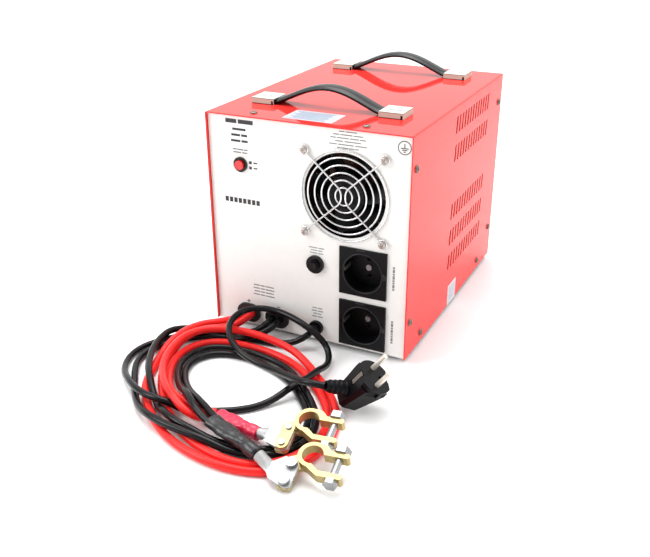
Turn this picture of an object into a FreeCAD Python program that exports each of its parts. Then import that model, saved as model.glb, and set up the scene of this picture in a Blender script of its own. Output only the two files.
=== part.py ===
import FreeCAD, Part
import math
import os
import re

# Power inverter with battery leads, as a set of separate pieces.
# Millimetres.  +Z is up and the feet stand on z = 0.  The panel with the fan, the sockets
# and the cable outlets faces -Y.  The origin is below the middle of the case.

V = FreeCAD.Vector
UP, BACK, RIGHT = V(0, 0, 1), V(0, 1, 0), V(1, 0, 0)
TURN = {
    "Z": FreeCAD.Rotation(),
    "Y": FreeCAD.Rotation(RIGHT, -90),
    "X": FreeCAD.Rotation(BACK, 90),
}

doc = FreeCAD.newDocument("power_inverter")
sheet = doc.addObject("Spreadsheet::Sheet", "sizes")
NODES = []

SIZES = {
    # case
    "case_width": 218, "case_depth": 300, "case_height": 228, "case_bottom": 5,
    "gauge": 1.2, "bend": 1.6, "panel_recess": 3.1, "panel_gap": 0.3, "flange": 14,
    "screw_radius": 2.0, "screw_hole": 2.1, "screw_head": 3.7, "screw_proud": 2.2,
    "screw_length": 7,
    # rubber feet
    "foot_radius": 10, "foot_inset": 34, "foot_screw_head": 4,
    # louvres
    "slot_rise": 17.5, "slot_width": 4.8, "slot_pitch": 9.45, "slot_lean": -2,
    "slot_first": -24.7, "fin_depth": 5.5, "fin_gauge": 1.0,
    # carrying handles
    "handle_centre": -2.5, "handle_reach": 69.5, "cap_length": 25, "cap_depth": 27, "cap_height": 6,
    "cap_gauge": 1.0, "strap_width": 22, "strap_thick": 3.4, "strap_rise": 20,
    "front_handle": -86.5, "rear_handle": 106.5,
    # fan
    "fan_x": 40.7, "fan_z": 166.4, "fan_size": 92, "fan_deep": 25, "fan_bore": 42.5,
    "fan_screw_span": 82.5, "hub_radius": 19, "blade_radius": 40.5, "blade_count": 7,
    "guard_wire": 0.9, "guard_first": 8.8, "guard_step": 7.3, "guard_rings": 6,
    # small controls of the front panel
    "charge_x": -72, "charge_z": 183, "bezel_radius": 7.6, "button_radius": 4.8,
    "breaker_x": 10, "breaker_z": 90.5, "breaker_nut": 9.4, "breaker_collar": 5.5,
    "breaker_knob": 3.9,
    # mains sockets
    "socket_x": 61.7, "socket_upper": 90.5, "socket_lower": 33.1, "socket_side": 50,
    "socket_proud": 2.2, "socket_deep": 24, "well_radius": 20, "well_deep": 17.5,
    "pin_hole": 2.75, "pin_span": 19,
    # cable outlets
    "outlet_z": 19, "plus_x": -69.6, "minus_x": -35.5, "grommet_wide": 27.5,
    "grommet_high": 20.8, "grommet_proud": 2.6, "relief_x": 10.5, "relief_radius": 7.75,
    # cables
    "red_radius": 3.8, "black_radius": 3.4, "mains_radius": 3.3,
    # transformer
    "core_x": -24, "core_y": 52, "core_radius": 66, "core_hole": 18, "core_high": 68,
    # electronics
    "board_x": -42, "board_y": -72, "board_wide": 112, "board_long": 78, "board_z": 42,
    # user side, at the back
    "rocker_x": -62, "rocker_z": 60, "window_z": 168, "light_z": 125,
}


def fill_sheet():
    """Write every driving size into the spreadsheet, each cell with its alias."""
    for row, (name, value) in enumerate(SIZES.items(), 1):
        sheet.set("A%d" % row, name)
        sheet.set("B%d" % row, str(value))
        sheet.setAlias("B%d" % row, name)
    doc.recompute()


def size(name):
    """A driving size, read from the spreadsheet."""
    return float(sheet.get(name))


def formula(text):
    """Spell a formula for setExpression, with each size taken from the sheet."""
    def spelled(word):
        return "sizes." + word.group(0) if word.group(0) in SIZES else word.group(0)
    return re.sub(r"[a-z][a-z_]*", spelled, str(text))


def bind(thing, **formulas):
    """Bind properties of an object to formulas of the sheet's sizes."""
    for prop, text in formulas.items():
        thing.setExpression(prop, formula(text))
    return thing


def place(thing, corner, turn=None):
    """Put an object at a corner given as three formulas, with an optional rotation."""
    thing.Placement = FreeCAD.Placement(V(), turn or FreeCAD.Rotation())
    for axis, text in zip("xyz", corner):
        thing.setExpression("Placement.Base." + axis, formula(text))
    return thing


def box(name, lengths, corner, turn=None):
    thing = doc.addObject("Part::Box", name)
    bind(thing, Length=lengths[0], Width=lengths[1], Height=lengths[2])
    return place(thing, corner, turn)


def cylinder(name, radius, height, base, axis="Z"):
    thing = doc.addObject("Part::Cylinder", name)
    bind(thing, Radius=radius, Height=height)
    return place(thing, base, TURN[axis])


def cone(name, radius, end_radius, height, base, axis="Z"):
    thing = doc.addObject("Part::Cone", name)
    bind(thing, Radius1=radius, Radius2=end_radius, Height=height)
    return place(thing, base, TURN[axis])


def fuse(name, parts):
    thing = doc.addObject("Part::MultiFuse", name)
    thing.Shapes = parts
    return thing


def group(name, parts):
    """Keep identical pieces as separate solids of one object."""
    thing = doc.addObject("Part::Compound", name)
    thing.Links = parts
    return thing


def cut(name, base, tools):
    thing = doc.addObject("Part::Cut", name)
    thing.Base = base
    thing.Tool = tools[0] if len(tools) == 1 else fuse(name + "_tools", tools)
    return thing


def solid(name, shape):
    """An object whose shape is worked out with Part's own functions."""
    thing = doc.addObject("Part::Feature", name)
    thing.Shape = shape
    return thing


def node(thing, label):
    """Name a finished sub-part and keep it for writing."""
    thing.Label = label
    NODES.append(thing)
    return thing


# ---------------------------------------------------------------- sketches and bodies

def origin_plane(body, role):
    return [plane for plane in body.Origin.OriginFeatures if plane.Role == role][0]


def new_sketch(body, name, role):
    sketch = body.newObject("Sketcher::SketchObject", name)
    sketch.AttachmentSupport = [(origin_plane(body, role), "")]
    sketch.MapMode = "FlatFace"
    return sketch


def sketch_rectangle(sketch, name, left, low, width, height):
    """Four constrained lines; the sizes and the corner's place are formulas."""
    import Sketcher
    first = sketch.GeometryCount
    corners = [V(0, 0, 0), V(9, 0, 0), V(9, 9, 0), V(0, 9, 0)]
    for one, two in zip(corners, corners[1:] + corners[:1]):
        sketch.addGeometry(Part.LineSegment(one, two), False)
    for side in range(4):
        sketch.addConstraint(Sketcher.Constraint("Coincident", first + side, 2, first + (side + 1) % 4, 1))
    for side, kind in enumerate(("Horizontal", "Vertical", "Horizontal", "Vertical")):
        sketch.addConstraint(Sketcher.Constraint(kind, first + side))
    rules = [
        ("left", Sketcher.Constraint("DistanceX", -1, 1, first, 1, 1.0), left),
        ("low", Sketcher.Constraint("DistanceY", -1, 1, first, 1, 1.0), low),
        ("width", Sketcher.Constraint("DistanceX", first, 1, first, 2, 9.0), width),
        ("height", Sketcher.Constraint("DistanceY", first + 1, 1, first + 1, 2, 9.0), height),
    ]
    for word, rule, text in rules:
        index = sketch.addConstraint(rule)
        sketch.renameConstraint(index, "%s_%s" % (name, word))
        sketch.setExpression("Constraints.%s_%s" % (name, word), formula(text))


def sketch_circle(sketch, name, x, y, radius):
    import Sketcher
    index = sketch.addGeometry(Part.Circle(V(1, 1, 0), UP, 2), False)
    rules = [
        ("x", Sketcher.Constraint("DistanceX", -1, 1, index, 3, 1.0), x),
        ("y", Sketcher.Constraint("DistanceY", -1, 1, index, 3, 1.0), y),
        ("radius", Sketcher.Constraint("Radius", index, 2.0), radius),
    ]
    for word, rule, text in rules:
        rule_index = sketch.addConstraint(rule)
        sketch.renameConstraint(rule_index, "%s_%s" % (name, word))
        sketch.setExpression("Constraints.%s_%s" % (name, word), formula(text))


def pad(body, name, sketch, length, reverse=False):
    thing = body.newObject("PartDesign::Pad", name)
    thing.Profile = sketch
    thing.Reversed = reverse
    thing.setExpression("Length", formula(length))
    doc.recompute()
    return thing


def pocket(body, name, sketch):
    """Cut a sketch through the whole body both ways, and make sure that it cut something."""
    before = body.Tip.Shape.Volume
    thing = body.newObject("PartDesign::Pocket", name)
    thing.Profile = sketch
    thing.Type = 1
    thing.Midplane = True
    doc.recompute()
    if thing.Shape.Volume > before - 0.01:
        raise RuntimeError(name + " cuts nothing")
    return thing


# ---------------------------------------------------------------- case

SIDE_SCREWS = [(-139.5, 43.5), (-139.5, 200.5), (138, 45), (138, 202), (-106, 16), (96, 16)]
TOP_SCREWS = [(-61.4, -136), (58, -136), (-61.4, 137), (58, 137)]
LOUVRE_ROWS = [51.4, 80.4, 110.0, 174.4, 204.0]
LOUVRE_SLOTS = 13
HALF_WIDTH = "case_width / 2"
ROOF = "(case_bottom + case_height)"
PANEL_FACE = "(-case_depth / 2 + panel_recess)"
BACK_FACE = "(case_depth / 2 - panel_recess)"
LIGHT_PLACES = (-20, 0, 20)


def slanted_strip(sketch, foot, low, wide):
    """One strip of a louvre, with its upper end shifted along the wall by the lean."""
    rise, lean = size("slot_rise"), size("slot_lean")
    corners = [V(foot, low, 0), V(foot + wide, low, 0), V(foot + wide - lean, low + rise, 0),
               V(foot - lean, low + rise, 0)]
    for one, two in zip(corners, corners[1:] + corners[:1]):
        sketch.addGeometry(Part.LineSegment(one, two), False)


def louvres(body):
    """Five rows of slots in each wall, each slot with a fin bent inwards along its rear edge."""
    fins = new_sketch(body, "louvre_fins", "YZ_Plane")
    slots = new_sketch(body, "louvre_slots", "YZ_Plane")
    for low in LOUVRE_ROWS:
        for number in range(LOUVRE_SLOTS):
            foot = size("slot_first") + number * size("slot_pitch")
            slanted_strip(slots, foot, low, size("slot_width"))
            slanted_strip(fins, foot + size("slot_width"), low, size("fin_gauge"))
    bridge = pad(body, "fin_bridges", fins, "case_width - gauge")
    bridge.Midplane = True
    doc.recompute()
    room = new_sketch(body, "fin_room", "XZ_Plane")
    sketch_rectangle(room, "fin_gap", "gauge + fin_depth - case_width / 2", "case_bottom + 20",
                     "case_width - 2 * gauge - 2 * fin_depth", "case_height - 22")
    pocket(body, "fin_trim", room)
    pocket(body, "louvres", slots)


def top_cover():
    """Bent sheet: roof and two side walls, with five rows of louvre slots in each side."""
    body = doc.addObject("PartDesign::Body", "top_cover_body")
    outside = new_sketch(body, "cover_outside", "XZ_Plane")
    sketch_rectangle(outside, "outer", "-case_width / 2", "case_bottom", "case_width", "case_height")
    shell = pad(body, "cover_block", outside, "case_depth")
    shell.Midplane = True
    doc.recompute()
    low, long = size("case_bottom") + 1, size("case_depth") - 1
    edges = ["Edge%d" % (number + 1) for number, edge in enumerate(shell.Shape.Edges)
             if edge.BoundBox.ZMin > low and edge.BoundBox.YLength > long]
    rounding = body.newObject("PartDesign::Fillet", "cover_bends")
    rounding.Base = (shell, edges)
    rounding.setExpression("Radius", formula("bend"))
    doc.recompute()
    inside = new_sketch(body, "cover_inside", "XZ_Plane")
    sketch_rectangle(inside, "inner", "gauge - case_width / 2", "case_bottom - 1",
                     "case_width - 2 * gauge", "case_height + 1 - gauge")
    pocket(body, "cover_hollow", inside)
    louvres(body)
    side_holes = new_sketch(body, "side_holes", "YZ_Plane")
    for number, (along, high) in enumerate(SIDE_SCREWS):
        sketch_circle(side_holes, "side%d" % number, along, high, "screw_hole")
    pocket(body, "side_screw_holes", side_holes)
    roof_holes = new_sketch(body, "roof_holes", "XY_Plane")
    for number, (across, along) in enumerate(TOP_SCREWS):
        sketch_circle(roof_holes, "roof%d" % number, across, along, "screw_hole")
    pocket(body, "roof_screw_holes", roof_holes)
    node(body, "top_cover")


def ear_holes(name):
    """Holes that let the side and roof screws through the inner flanges."""
    tools = []
    for number, (along, high) in enumerate(SIDE_SCREWS):
        tools.append(cylinder("%s_side%d" % (name, number), "screw_hole", "case_width",
                              ("-case_width / 2", along, high), "X"))
    for number, (across, along) in enumerate(TOP_SCREWS):
        tools.append(cylinder("%s_roof%d" % (name, number), "screw_hole", 12,
                              (across, along, ROOF + " - 11")))
    return tools


def panel_flanges(name, inner_y):
    """Bent edges of a panel, which the cover's screws hold, at both sides and at the top."""
    clear = "(gauge + panel_gap)"
    sides = []
    for word, x in (("left", "-case_width / 2 + " + clear), ("right", "case_width / 2 - %s - gauge" % clear)):
        sides.append(box("%s_%s_flange" % (name, word), ("gauge", "flange", "case_height - 34"),
                         (x, inner_y, "case_bottom + 24")))
    top = box(name + "_top_flange", ("case_width - 30", "flange", "gauge"),
              ("15 - case_width / 2", inner_y, ROOF + " - 2 * gauge - panel_gap"))
    return sides + [top]


def front_panel():
    """White front panel with its cut-outs."""
    body = doc.addObject("PartDesign::Body", "front_panel_body")
    outline = new_sketch(body, "front_outline", "XZ_Plane")
    sketch_rectangle(outline, "sheet", "gauge + panel_gap - case_width / 2", "case_bottom + 0.2",
                     "case_width - 2 * (gauge + panel_gap)", "case_height - 0.2 - gauge - panel_gap")
    pad(body, "front_sheet", outline, "gauge", True)
    holes = new_sketch(body, "front_holes", "XZ_Plane")
    sketch_circle(holes, "fan", "fan_x", "fan_z", "fan_bore")
    for number, (side, level) in enumerate([(-1, -1), (1, -1), (1, 1), (-1, 1)]):
        sketch_circle(holes, "fan_screw%d" % number, "fan_x + %d * fan_screw_span / 2" % side,
                      "fan_z + %d * fan_screw_span / 2" % level, "screw_hole")
    sketch_circle(holes, "charge", "charge_x", "charge_z", "bezel_radius - 1.2")
    sketch_circle(holes, "breaker", "breaker_x", "breaker_z", "breaker_collar + 0.1")
    sketch_circle(holes, "relief", "relief_x", "outlet_z", "relief_radius - 1.6")
    for word in ("upper", "lower"):
        sketch_rectangle(holes, word + "_socket", "socket_x - socket_side / 2 + 2",
                         "socket_%s - socket_side / 2 + 2" % word, "socket_side - 4", "socket_side - 4")
    pocket(body, "front_cutouts", holes)
    bind(body, **{"Placement.Base.y": PANEL_FACE})
    outlets = []
    for word in ("plus", "minus"):
        outlets.append(stadium(word + "_opening", word + "_x", "grommet_wide - 5", "grommet_high - 5",
                               PANEL_FACE + " - 2", 6))
    inner_y = PANEL_FACE + " + gauge"
    whole = fuse("front_panel_sheet", [body] + panel_flanges("front", inner_y))
    node(cut("front_panel_cut", whole, outlets + ear_holes("front")), "front_panel")


def stadium(name, x, wide, high, start_y, deep):
    """Oval bar along Y: a box between two cylinders, about the outlets' height."""
    half = "((%s) / 2)" % high
    reach = "((%s) / 2 - %s)" % (wide, half)
    parts = [box(name + "_middle", ("2 * " + reach, deep, high),
                 ("%s - %s" % (x, reach), start_y, "outlet_z - " + half))]
    for number, sign in enumerate("-+"):
        parts.append(cylinder("%s_end%d" % (name, number), half, deep,
                              ("%s %s %s" % (x, sign, reach), start_y, "outlet_z"), "Y"))
    return fuse(name, parts)


def back_panel():
    """Rear panel, the user's side, with the switch, the window and the indicator holes."""
    lengths = ("case_width - 2 * (gauge + panel_gap)", "gauge", "case_height - 0.2 - gauge - panel_gap")
    corner = ("gauge + panel_gap - case_width / 2", BACK_FACE + " - gauge", "case_bottom + 0.2")
    sheet_box = box("back_sheet", lengths, corner)
    whole = fuse("back_panel_sheet", [sheet_box] + panel_flanges("back", BACK_FACE + " - gauge - flange"))
    tools = [box("rocker_opening", (28, 6, 20.4), ("rocker_x - 14", BACK_FACE + " - 4", "rocker_z - 10.2")),
             box("window_opening", (84, 6, 44), ("-42", BACK_FACE + " - 4", "window_z - 22"))]
    for number, x in enumerate(LIGHT_PLACES):
        tools.append(cylinder("light_opening%d" % number, 2.6, 6, (x, BACK_FACE + " - 4", "light_z"), "Y"))
    node(cut("back_panel_cut", whole, tools + ear_holes("back")), "back_panel")


def base_plate():
    """Bottom plate with a low flange along each side wall."""
    clear = "(gauge + panel_gap)"
    long = "case_depth - 2 * panel_recess - 2 * gauge - 0.4"
    start = PANEL_FACE + " + gauge + 0.2"
    plate = box("bottom_sheet", ("case_width - 2 * %s" % clear, long, "gauge"),
                (clear + " - case_width / 2", start, "case_bottom"))
    rails = []
    for word, x in (("left", clear + " - case_width / 2"), ("right", "case_width / 2 - gauge - " + clear)):
        rails.append(box(word + "_rail", ("gauge", long, "flange + 2"), (x, start, "case_bottom")))
    whole = fuse("base_sheet", [plate] + rails)
    tools = [cylinder("foot_hole%d" % number, "screw_hole", 6, (x, y, "case_bottom - 2"))
             for number, (x, y) in enumerate(foot_places())]
    tools.append(cylinder("core_bolt_hole", 4.2, 6, ("core_x", "core_y", "case_bottom - 2")))
    node(cut("base_cut", whole, tools + ear_holes("base")), "base_plate")


def foot_places():
    across = "(case_width / 2 - foot_inset)"
    along = "(case_depth / 2 - foot_inset)"
    return [(sx + across, sy + along) for sx in "-+" for sy in "-+"]


def feet():
    """Four rubber feet, each held by a screw in its counterbore."""
    rubbers = []
    screws = []
    for number, (x, y) in enumerate(foot_places()):
        outer = cone("foot%d" % number, "foot_radius - 1.5", "foot_radius", "case_bottom", (x, y, 0))
        recess = cylinder("foot_recess%d" % number, "foot_screw_head + 0.6", 2.6, (x, y, 0))
        bore = cylinder("foot_bore%d" % number, "screw_hole", "case_bottom", (x, y, 0))
        rubbers.append(cut("foot_cut%d" % number, outer, [recess, bore]))
        head = cylinder("foot_screw_head%d" % number, "foot_screw_head", 1.8, (x, y, 0.8))
        shank = cylinder("foot_screw_shank%d" % number, "screw_radius", "screw_length", (x, y, 2.0))
        screws.append(fuse("foot_screw%d" % number, [head, shank]))
    node(group("feet_group", rubbers), "rubber_feet")
    node(group("foot_screw_group", screws), "foot_screws")


def cover_screws():
    """Pan-head screws in the side walls and in the roof."""
    sides = []
    for number, (along, high) in enumerate(SIDE_SCREWS):
        for word, head_x, shank_x in (("right", HALF_WIDTH, HALF_WIDTH + " + 0.4 - screw_length"),
                                      ("left", "-case_width / 2 - screw_proud", "-case_width / 2 - 0.4")):
            name = "%s_screw%d" % (word, number)
            head = cylinder(name + "_head", "screw_head", "screw_proud", (head_x, along, high), "X")
            shank = cylinder(name + "_shank", "screw_radius", "screw_length", (shank_x, along, high), "X")
            sides.append(fuse(name, [head, shank]))
    node(group("side_screw_group", sides), "side_screws")
    tops = []
    for number, (across, along) in enumerate(TOP_SCREWS):
        name = "roof_screw%d" % number
        head = cylinder(name + "_head", "screw_head", "screw_proud", (across, along, ROOF))
        shank = cylinder(name + "_shank", "screw_radius", "screw_length",
                         (across, along, ROOF + " + 0.4 - screw_length"))
        tops.append(fuse(name, [head, shank]))
    node(group("roof_screw_group", tops), "top_screws")


# ---------------------------------------------------------------- carrying handles

def strap_shape(y):
    """Flat strap: straight where its caps hold it, with one smooth arch between them."""
    level = size("case_bottom") + size("case_height") + size("cap_height") / 2 - 0.5
    half = size("handle_reach") + size("cap_length") / 2 - 4
    thick, wide = size("strap_thick"), size("strap_width")
    foot = size("handle_reach") - size("cap_length") / 2
    crown = size("strap_rise") - thick / 2
    shoulders = [(half, 0), (foot, 0), (foot - 15, 0.22), (foot - 30, 0.72), (foot - 44, 1.0)]
    middle = size("handle_centre")
    points = [V(middle - reach, 0, level + part * crown) for reach, part in shoulders]
    points += [V(middle + reach, 0, level + part * crown) for reach, part in reversed(shoulders)]
    path, _ = rounded_path(points)
    flat = V(0, 0, thick / 2)
    side = V(0, wide / 2, 0)
    start = points[0]
    corners = [start - side - flat, start + side - flat, start + side + flat, start - side + flat]
    section = Part.makePolygon(corners + corners[:1])
    strap = path.makePipeShell([section], True, False)
    strap.translate(V(0, y, 0))
    return strap


def handle_cap(name, side, y):
    """Folded sheet cap over one end of a strap, open towards the strap."""
    x = "handle_centre %s handle_reach - cap_length / 2" % side
    outer = box(name + "_outer", ("cap_length", "cap_depth", "cap_height"),
                (x, "%s - cap_depth / 2" % y, ROOF))
    start = x + (" - 2" if side == "+" else " + cap_gauge")
    lengths = ("cap_length - cap_gauge + 2", "cap_depth - 2 * cap_gauge", "cap_height - cap_gauge + 1")
    inner = box(name + "_inner", lengths, (start, "%s - cap_depth / 2 + cap_gauge" % y, ROOF + " - 1"))
    return cut(name, outer, [inner])


def handles():
    caps = []
    for word in ("front", "rear"):
        y = word + "_handle"
        node(solid(word + "_strap", strap_shape(size(y))), word + "_handle_strap")
        for side, hand in (("-", "left"), ("+", "right")):
            caps.append(handle_cap("%s_%s_cap" % (word, hand), side, y))
    node(group("cap_group", caps), "handle_end_caps")


# ---------------------------------------------------------------- fan

FAN_CORNERS = [(-1, -1), (1, -1), (1, 1), (-1, 1)]
FAN_BACK = PANEL_FACE + " + gauge"


def fan_corner(sx, sz):
    return "fan_x + %d * fan_screw_span / 2" % sx, "fan_z + %d * fan_screw_span / 2" % sz


def fan_frame():
    """Square frame with a round duct, and struts that carry the motor cup at the back."""
    block = box("fan_block", ("fan_size", "fan_deep", "fan_size"),
                ("fan_x - fan_size / 2", FAN_BACK, "fan_z - fan_size / 2"))
    duct = cylinder("fan_duct", "fan_bore + 0.5", "fan_deep + 2", ("fan_x", FAN_BACK + " - 1", "fan_z"), "Y")
    holes = []
    for number, (sx, sz) in enumerate(FAN_CORNERS):
        x, z = fan_corner(sx, sz)
        holes.append(cylinder("fan_hole%d" % number, "screw_hole", "fan_deep + 2",
                              (x, FAN_BACK + " - 1", z), "Y"))
    frame = cut("fan_frame_block", block, [duct] + holes)
    cup = cylinder("motor_cup", 20, 3, ("fan_x", FAN_BACK + " + fan_deep - 3", "fan_z"), "Y")
    bearing = cylinder("bearing_hole", 2.55, 5, ("fan_x", FAN_BACK + " + fan_deep - 4", "fan_z"), "Y")
    struts = []
    for number in range(4):
        strut = doc.addObject("Part::Box", "strut%d" % number)
        bind(strut, Length="fan_bore + 1.2 - 18", Width=3, Height=4)
        strut.Placement.Rotation = FreeCAD.Rotation(BACK, 45 + 90 * number)
        angle = math.radians(45 + 90 * number)
        out, side = V(math.cos(angle), 0, -math.sin(angle)), V(math.sin(angle), 0, math.cos(angle))
        start = out * 18 - side * 2
        corner = ("fan_x + %.4f" % start.x, FAN_BACK + " + fan_deep - 3", "fan_z + %.4f" % start.z)
        place(strut, corner, strut.Placement.Rotation)
        struts.append(strut)
    node(cut("fan_frame_cut", fuse("fan_frame_whole", [frame, cup] + struts), [bearing]), "fan_frame")


def blade_shape(number, front, deep):
    """One fan blade: a thin twisted sheet lofted from the hub to the tip."""
    hub, tip = size("hub_radius") - 1, size("blade_radius")
    count = size("blade_count")
    sections = []
    for radius, sweep, chord in ((hub, 0, 15), ((hub + tip) / 2, 9, 20), (tip, 20, 25)):
        middle = math.radians(360 * number / count + sweep)
        half = chord / 2 / radius
        corners = []
        for turn, depth in ((-half, 1.0), (half, deep - 1.0)):
            for thick in (-0.7, 0.7):
                angle = middle + turn
                corners.append(V(radius * math.cos(angle), depth + thick, radius * math.sin(angle)))
        ring = [corners[0], corners[1], corners[3], corners[2], corners[0]]
        sections.append(Part.makePolygon(ring))
    blade = Part.makeLoft(sections, True, True)
    blade.translate(V(size("fan_x"), front, size("fan_z")))
    return blade


def fan_rotor():
    """Hub cup with its shaft and the blades, which turn together."""
    face = -size("case_depth") / 2 + size("panel_recess") + size("gauge")
    centre = V(size("fan_x"), 0, size("fan_z"))
    front = face + 3.5
    deep = size("fan_deep") - 9
    hub = Part.makeCylinder(size("hub_radius"), deep, centre + V(0, front, 0), BACK)
    shaft = Part.makeCylinder(2.5, 6, centre + V(0, front + deep - 1, 0), BACK)
    shape = hub.fuse(shaft)
    for number in range(int(size("blade_count"))):
        shape = shape.fuse(blade_shape(number, front, deep))
    node(solid("rotor", shape.removeSplitter()), "fan_rotor")


def fan_guard():
    """Wire guard: round rings, four eyes for the screws and two bowed spokes across the rings."""
    wire = size("guard_wire")
    face = -size("case_depth") / 2 + size("panel_recess")
    centre = V(size("fan_x"), face - wire - 0.05, size("fan_z"))
    half = size("fan_screw_span") / 2
    pieces = []
    for number in range(int(size("guard_rings"))):
        radius = size("guard_first") + number * size("guard_step")
        pieces.append(Part.makeTorus(radius, wire, centre, BACK))
    front = centre - V(0, 1.55 * wire, 0)
    for sx, sz in FAN_CORNERS:
        pieces.append(Part.makeTorus(4.2, wire, front + V(sx * half, 0, sz * half), BACK))
    eye = 4.2 * math.sqrt(0.5)
    for side in (-1, 1):
        outer = [front + V(side * (half - eye), 0, half - eye), front + V(side * 2.2, 0, 6),
                 front + V(side * 2.2, 0, -6), front + V(side * (half - eye), 0, -half + eye)]
        path, _ = rounded_path(outer)
        circle = Part.Wire(Part.makeCircle(wire, outer[0], outer[1] - outer[0]))
        pieces.append(path.makePipeShell([circle], True, False))
    guard = pieces[0].fuse(pieces[1:])
    node(solid("guard", guard), "fan_guard")


def fan_fasteners():
    screws = []
    nuts = []
    for number, (sx, sz) in enumerate(FAN_CORNERS):
        x, z = fan_corner(sx, sz)
        start = PANEL_FACE + " - 2 * guard_wire - 2.6"
        head = cylinder("fan_screw_head%d" % number, 4.2, 2.2, (x, start + " - 1.2", z), "Y")
        shank = cylinder("fan_screw_shank%d" % number, "screw_radius", "fan_deep + 11", (x, start, z), "Y")
        screws.append(fuse("fan_screw%d" % number, [head, shank]))
        nuts.append(hex_nut("fan_nut%d" % number, 3.5, 3.2, (x, FAN_BACK + " + fan_deep + 0.05", z)))
    node(group("fan_screw_group", screws), "fan_screws")
    node(group("fan_nut_group", nuts), "fan_nuts")


def hex_nut(name, half_flats, thick, base):
    """Hexagon nut on the Y axis, bored to clear the screw."""
    prism = doc.addObject("Part::Prism", name + "_hex")
    prism.Polygon = 6
    bind(prism, Circumradius="%s / 0.866" % half_flats, Height=thick)
    place(prism, base, TURN["Y"])
    bore = cylinder(name + "_bore", "screw_hole", "%s + 2" % thick, (base[0], base[1] + " - 1", base[2]), "Y")
    return cut(name, prism, [bore])


# ---------------------------------------------------------------- small controls

def charge_button():
    """Round push button that picks the charging current, in its bezel."""
    x, z = "charge_x", "charge_z"
    flange = cylinder("bezel_flange", "bezel_radius", 1.8, (x, PANEL_FACE + " - 1.8", z), "Y")
    barrel = cylinder("bezel_barrel", "bezel_radius - 1.3", 16, (x, PANEL_FACE, z), "Y")
    bore = cylinder("bezel_bore", "button_radius + 0.25", 12, (x, PANEL_FACE + " - 3", z), "Y")
    node(cut("bezel_cut", fuse("bezel_whole", [flange, barrel]), [bore]), "charge_button_bezel")
    knob = cylinder("charge_knob", "button_radius", 8.8, (x, PANEL_FACE + " - 4.6", z), "Y")
    node(knob, "charge_button")


def thermal_breaker():
    """Push-to-reset breaker: threaded body, ring nut outside and the reset button."""
    x, z = "breaker_x", "breaker_z"
    barrel = cylinder("breaker_barrel", "breaker_collar", 14, (x, PANEL_FACE + " - 5.6", z), "Y")
    can = box("breaker_can", (26, 24, 15),
              ("breaker_x - 13", PANEL_FACE + " + gauge + 0.1", "breaker_z - 7.5"))
    bore = cylinder("breaker_bore", "breaker_knob + 0.2", 14, (x, PANEL_FACE + " - 6", z), "Y")
    node(cut("breaker_cut", fuse("breaker_whole", [barrel, can]), [bore]), "breaker_body")
    ring = cylinder("breaker_ring", "breaker_nut", 3, (x, PANEL_FACE + " - 3", z), "Y")
    hole = cylinder("breaker_ring_hole", "breaker_collar + 0.1", 5, (x, PANEL_FACE + " - 4", z), "Y")
    node(cut("breaker_ring_cut", ring, [hole]), "breaker_nut")
    knob = cylinder("breaker_knob_rod", "breaker_knob", 12, (x, PANEL_FACE + " - 6.8", z), "Y")
    node(knob, "breaker_button")


# ---------------------------------------------------------------- mains sockets

def socket_housing(word):
    """Square socket with a round well, two pin holes, clip slots and a screw hole."""
    x, z = "socket_x", "socket_" + word
    flange = box(word + "_flange", ("socket_side", "socket_proud", "socket_side"),
                 ("socket_x - socket_side / 2", PANEL_FACE + " - socket_proud", z + " - socket_side / 2"))
    block = box(word + "_block", ("socket_side - 5", "socket_deep", "socket_side - 5"),
                ("socket_x - socket_side / 2 + 2.5", PANEL_FACE, z + " - socket_side / 2 + 2.5"))
    well = cylinder(word + "_well", "well_radius", "well_deep", (x, PANEL_FACE + " - socket_proud", z), "Y")
    floor_y = PANEL_FACE + " - socket_proud + well_deep - 0.5"
    holes = [cylinder(word + "_pin_low", "pin_hole", 20, (x, floor_y, z + " - pin_span / 2"), "Y"),
             cylinder(word + "_pin_high", "pin_hole", 20, (x, floor_y, z + " + pin_span / 2"), "Y"),
             cylinder(word + "_screw_hole", 1.6, 20, (x, floor_y, z), "Y")]
    slots = [box("%s_clip_slot_%s" % (word, hand), (4, "well_deep + 2.5", 7),
                 ("socket_x %s" % shift, PANEL_FACE + " - socket_proud - 1", z + " - 3.5"))
             for hand, shift in (("left", "- well_radius - 2.2"), ("right", "+ well_radius - 1.8"))]
    whole = fuse(word + "_socket_whole", [flange, block])
    node(cut(word + "_socket_cut", whole, [well] + holes + slots), word + "_socket")


def socket_metal():
    clips = []
    contacts = []
    screws = []
    for word in ("upper", "lower"):
        z = "socket_" + word
        start = PANEL_FACE + " - socket_proud + 3.5"
        for hand, shift in (("left", "- well_radius - 1.2"), ("right", "+ well_radius + 0.2")):
            clips.append(box("%s_clip_%s" % (word, hand), (1.0, "well_deep - 3", 4.4),
                             ("socket_x %s" % shift, start, z + " - 2.2")))
        for level, sign in (("low", "-"), ("high", "+")):
            base = ("socket_x", PANEL_FACE + " - socket_proud + well_deep + 1.2",
                    "%s %s pin_span / 2" % (z, sign))
            tube = cylinder("%s_contact_%s" % (word, level), "pin_hole - 0.05", 12, base, "Y")
            bore = cylinder("%s_contact_%s_bore" % (word, level), "pin_hole - 0.5", 14,
                            (base[0], base[1] + " - 1", base[2]), "Y")
            contacts.append(cut("%s_contact_cut_%s" % (word, level), tube, [bore]))
        floor_y = PANEL_FACE + " - socket_proud + well_deep"
        head = cylinder(word + "_centre_head", 3.0, 1.4, ("socket_x", floor_y + " - 1.4", z), "Y")
        shank = cylinder(word + "_centre_shank", 1.5, 9, ("socket_x", floor_y + " - 0.4", z), "Y")
        screws.append(fuse(word + "_centre_screw", [head, shank]))
    node(group("clip_group", clips), "socket_earth_clips")
    node(group("contact_group", contacts), "socket_contacts")
    node(group("socket_screw_group", screws), "socket_screws")


# ---------------------------------------------------------------- cable outlets

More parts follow.
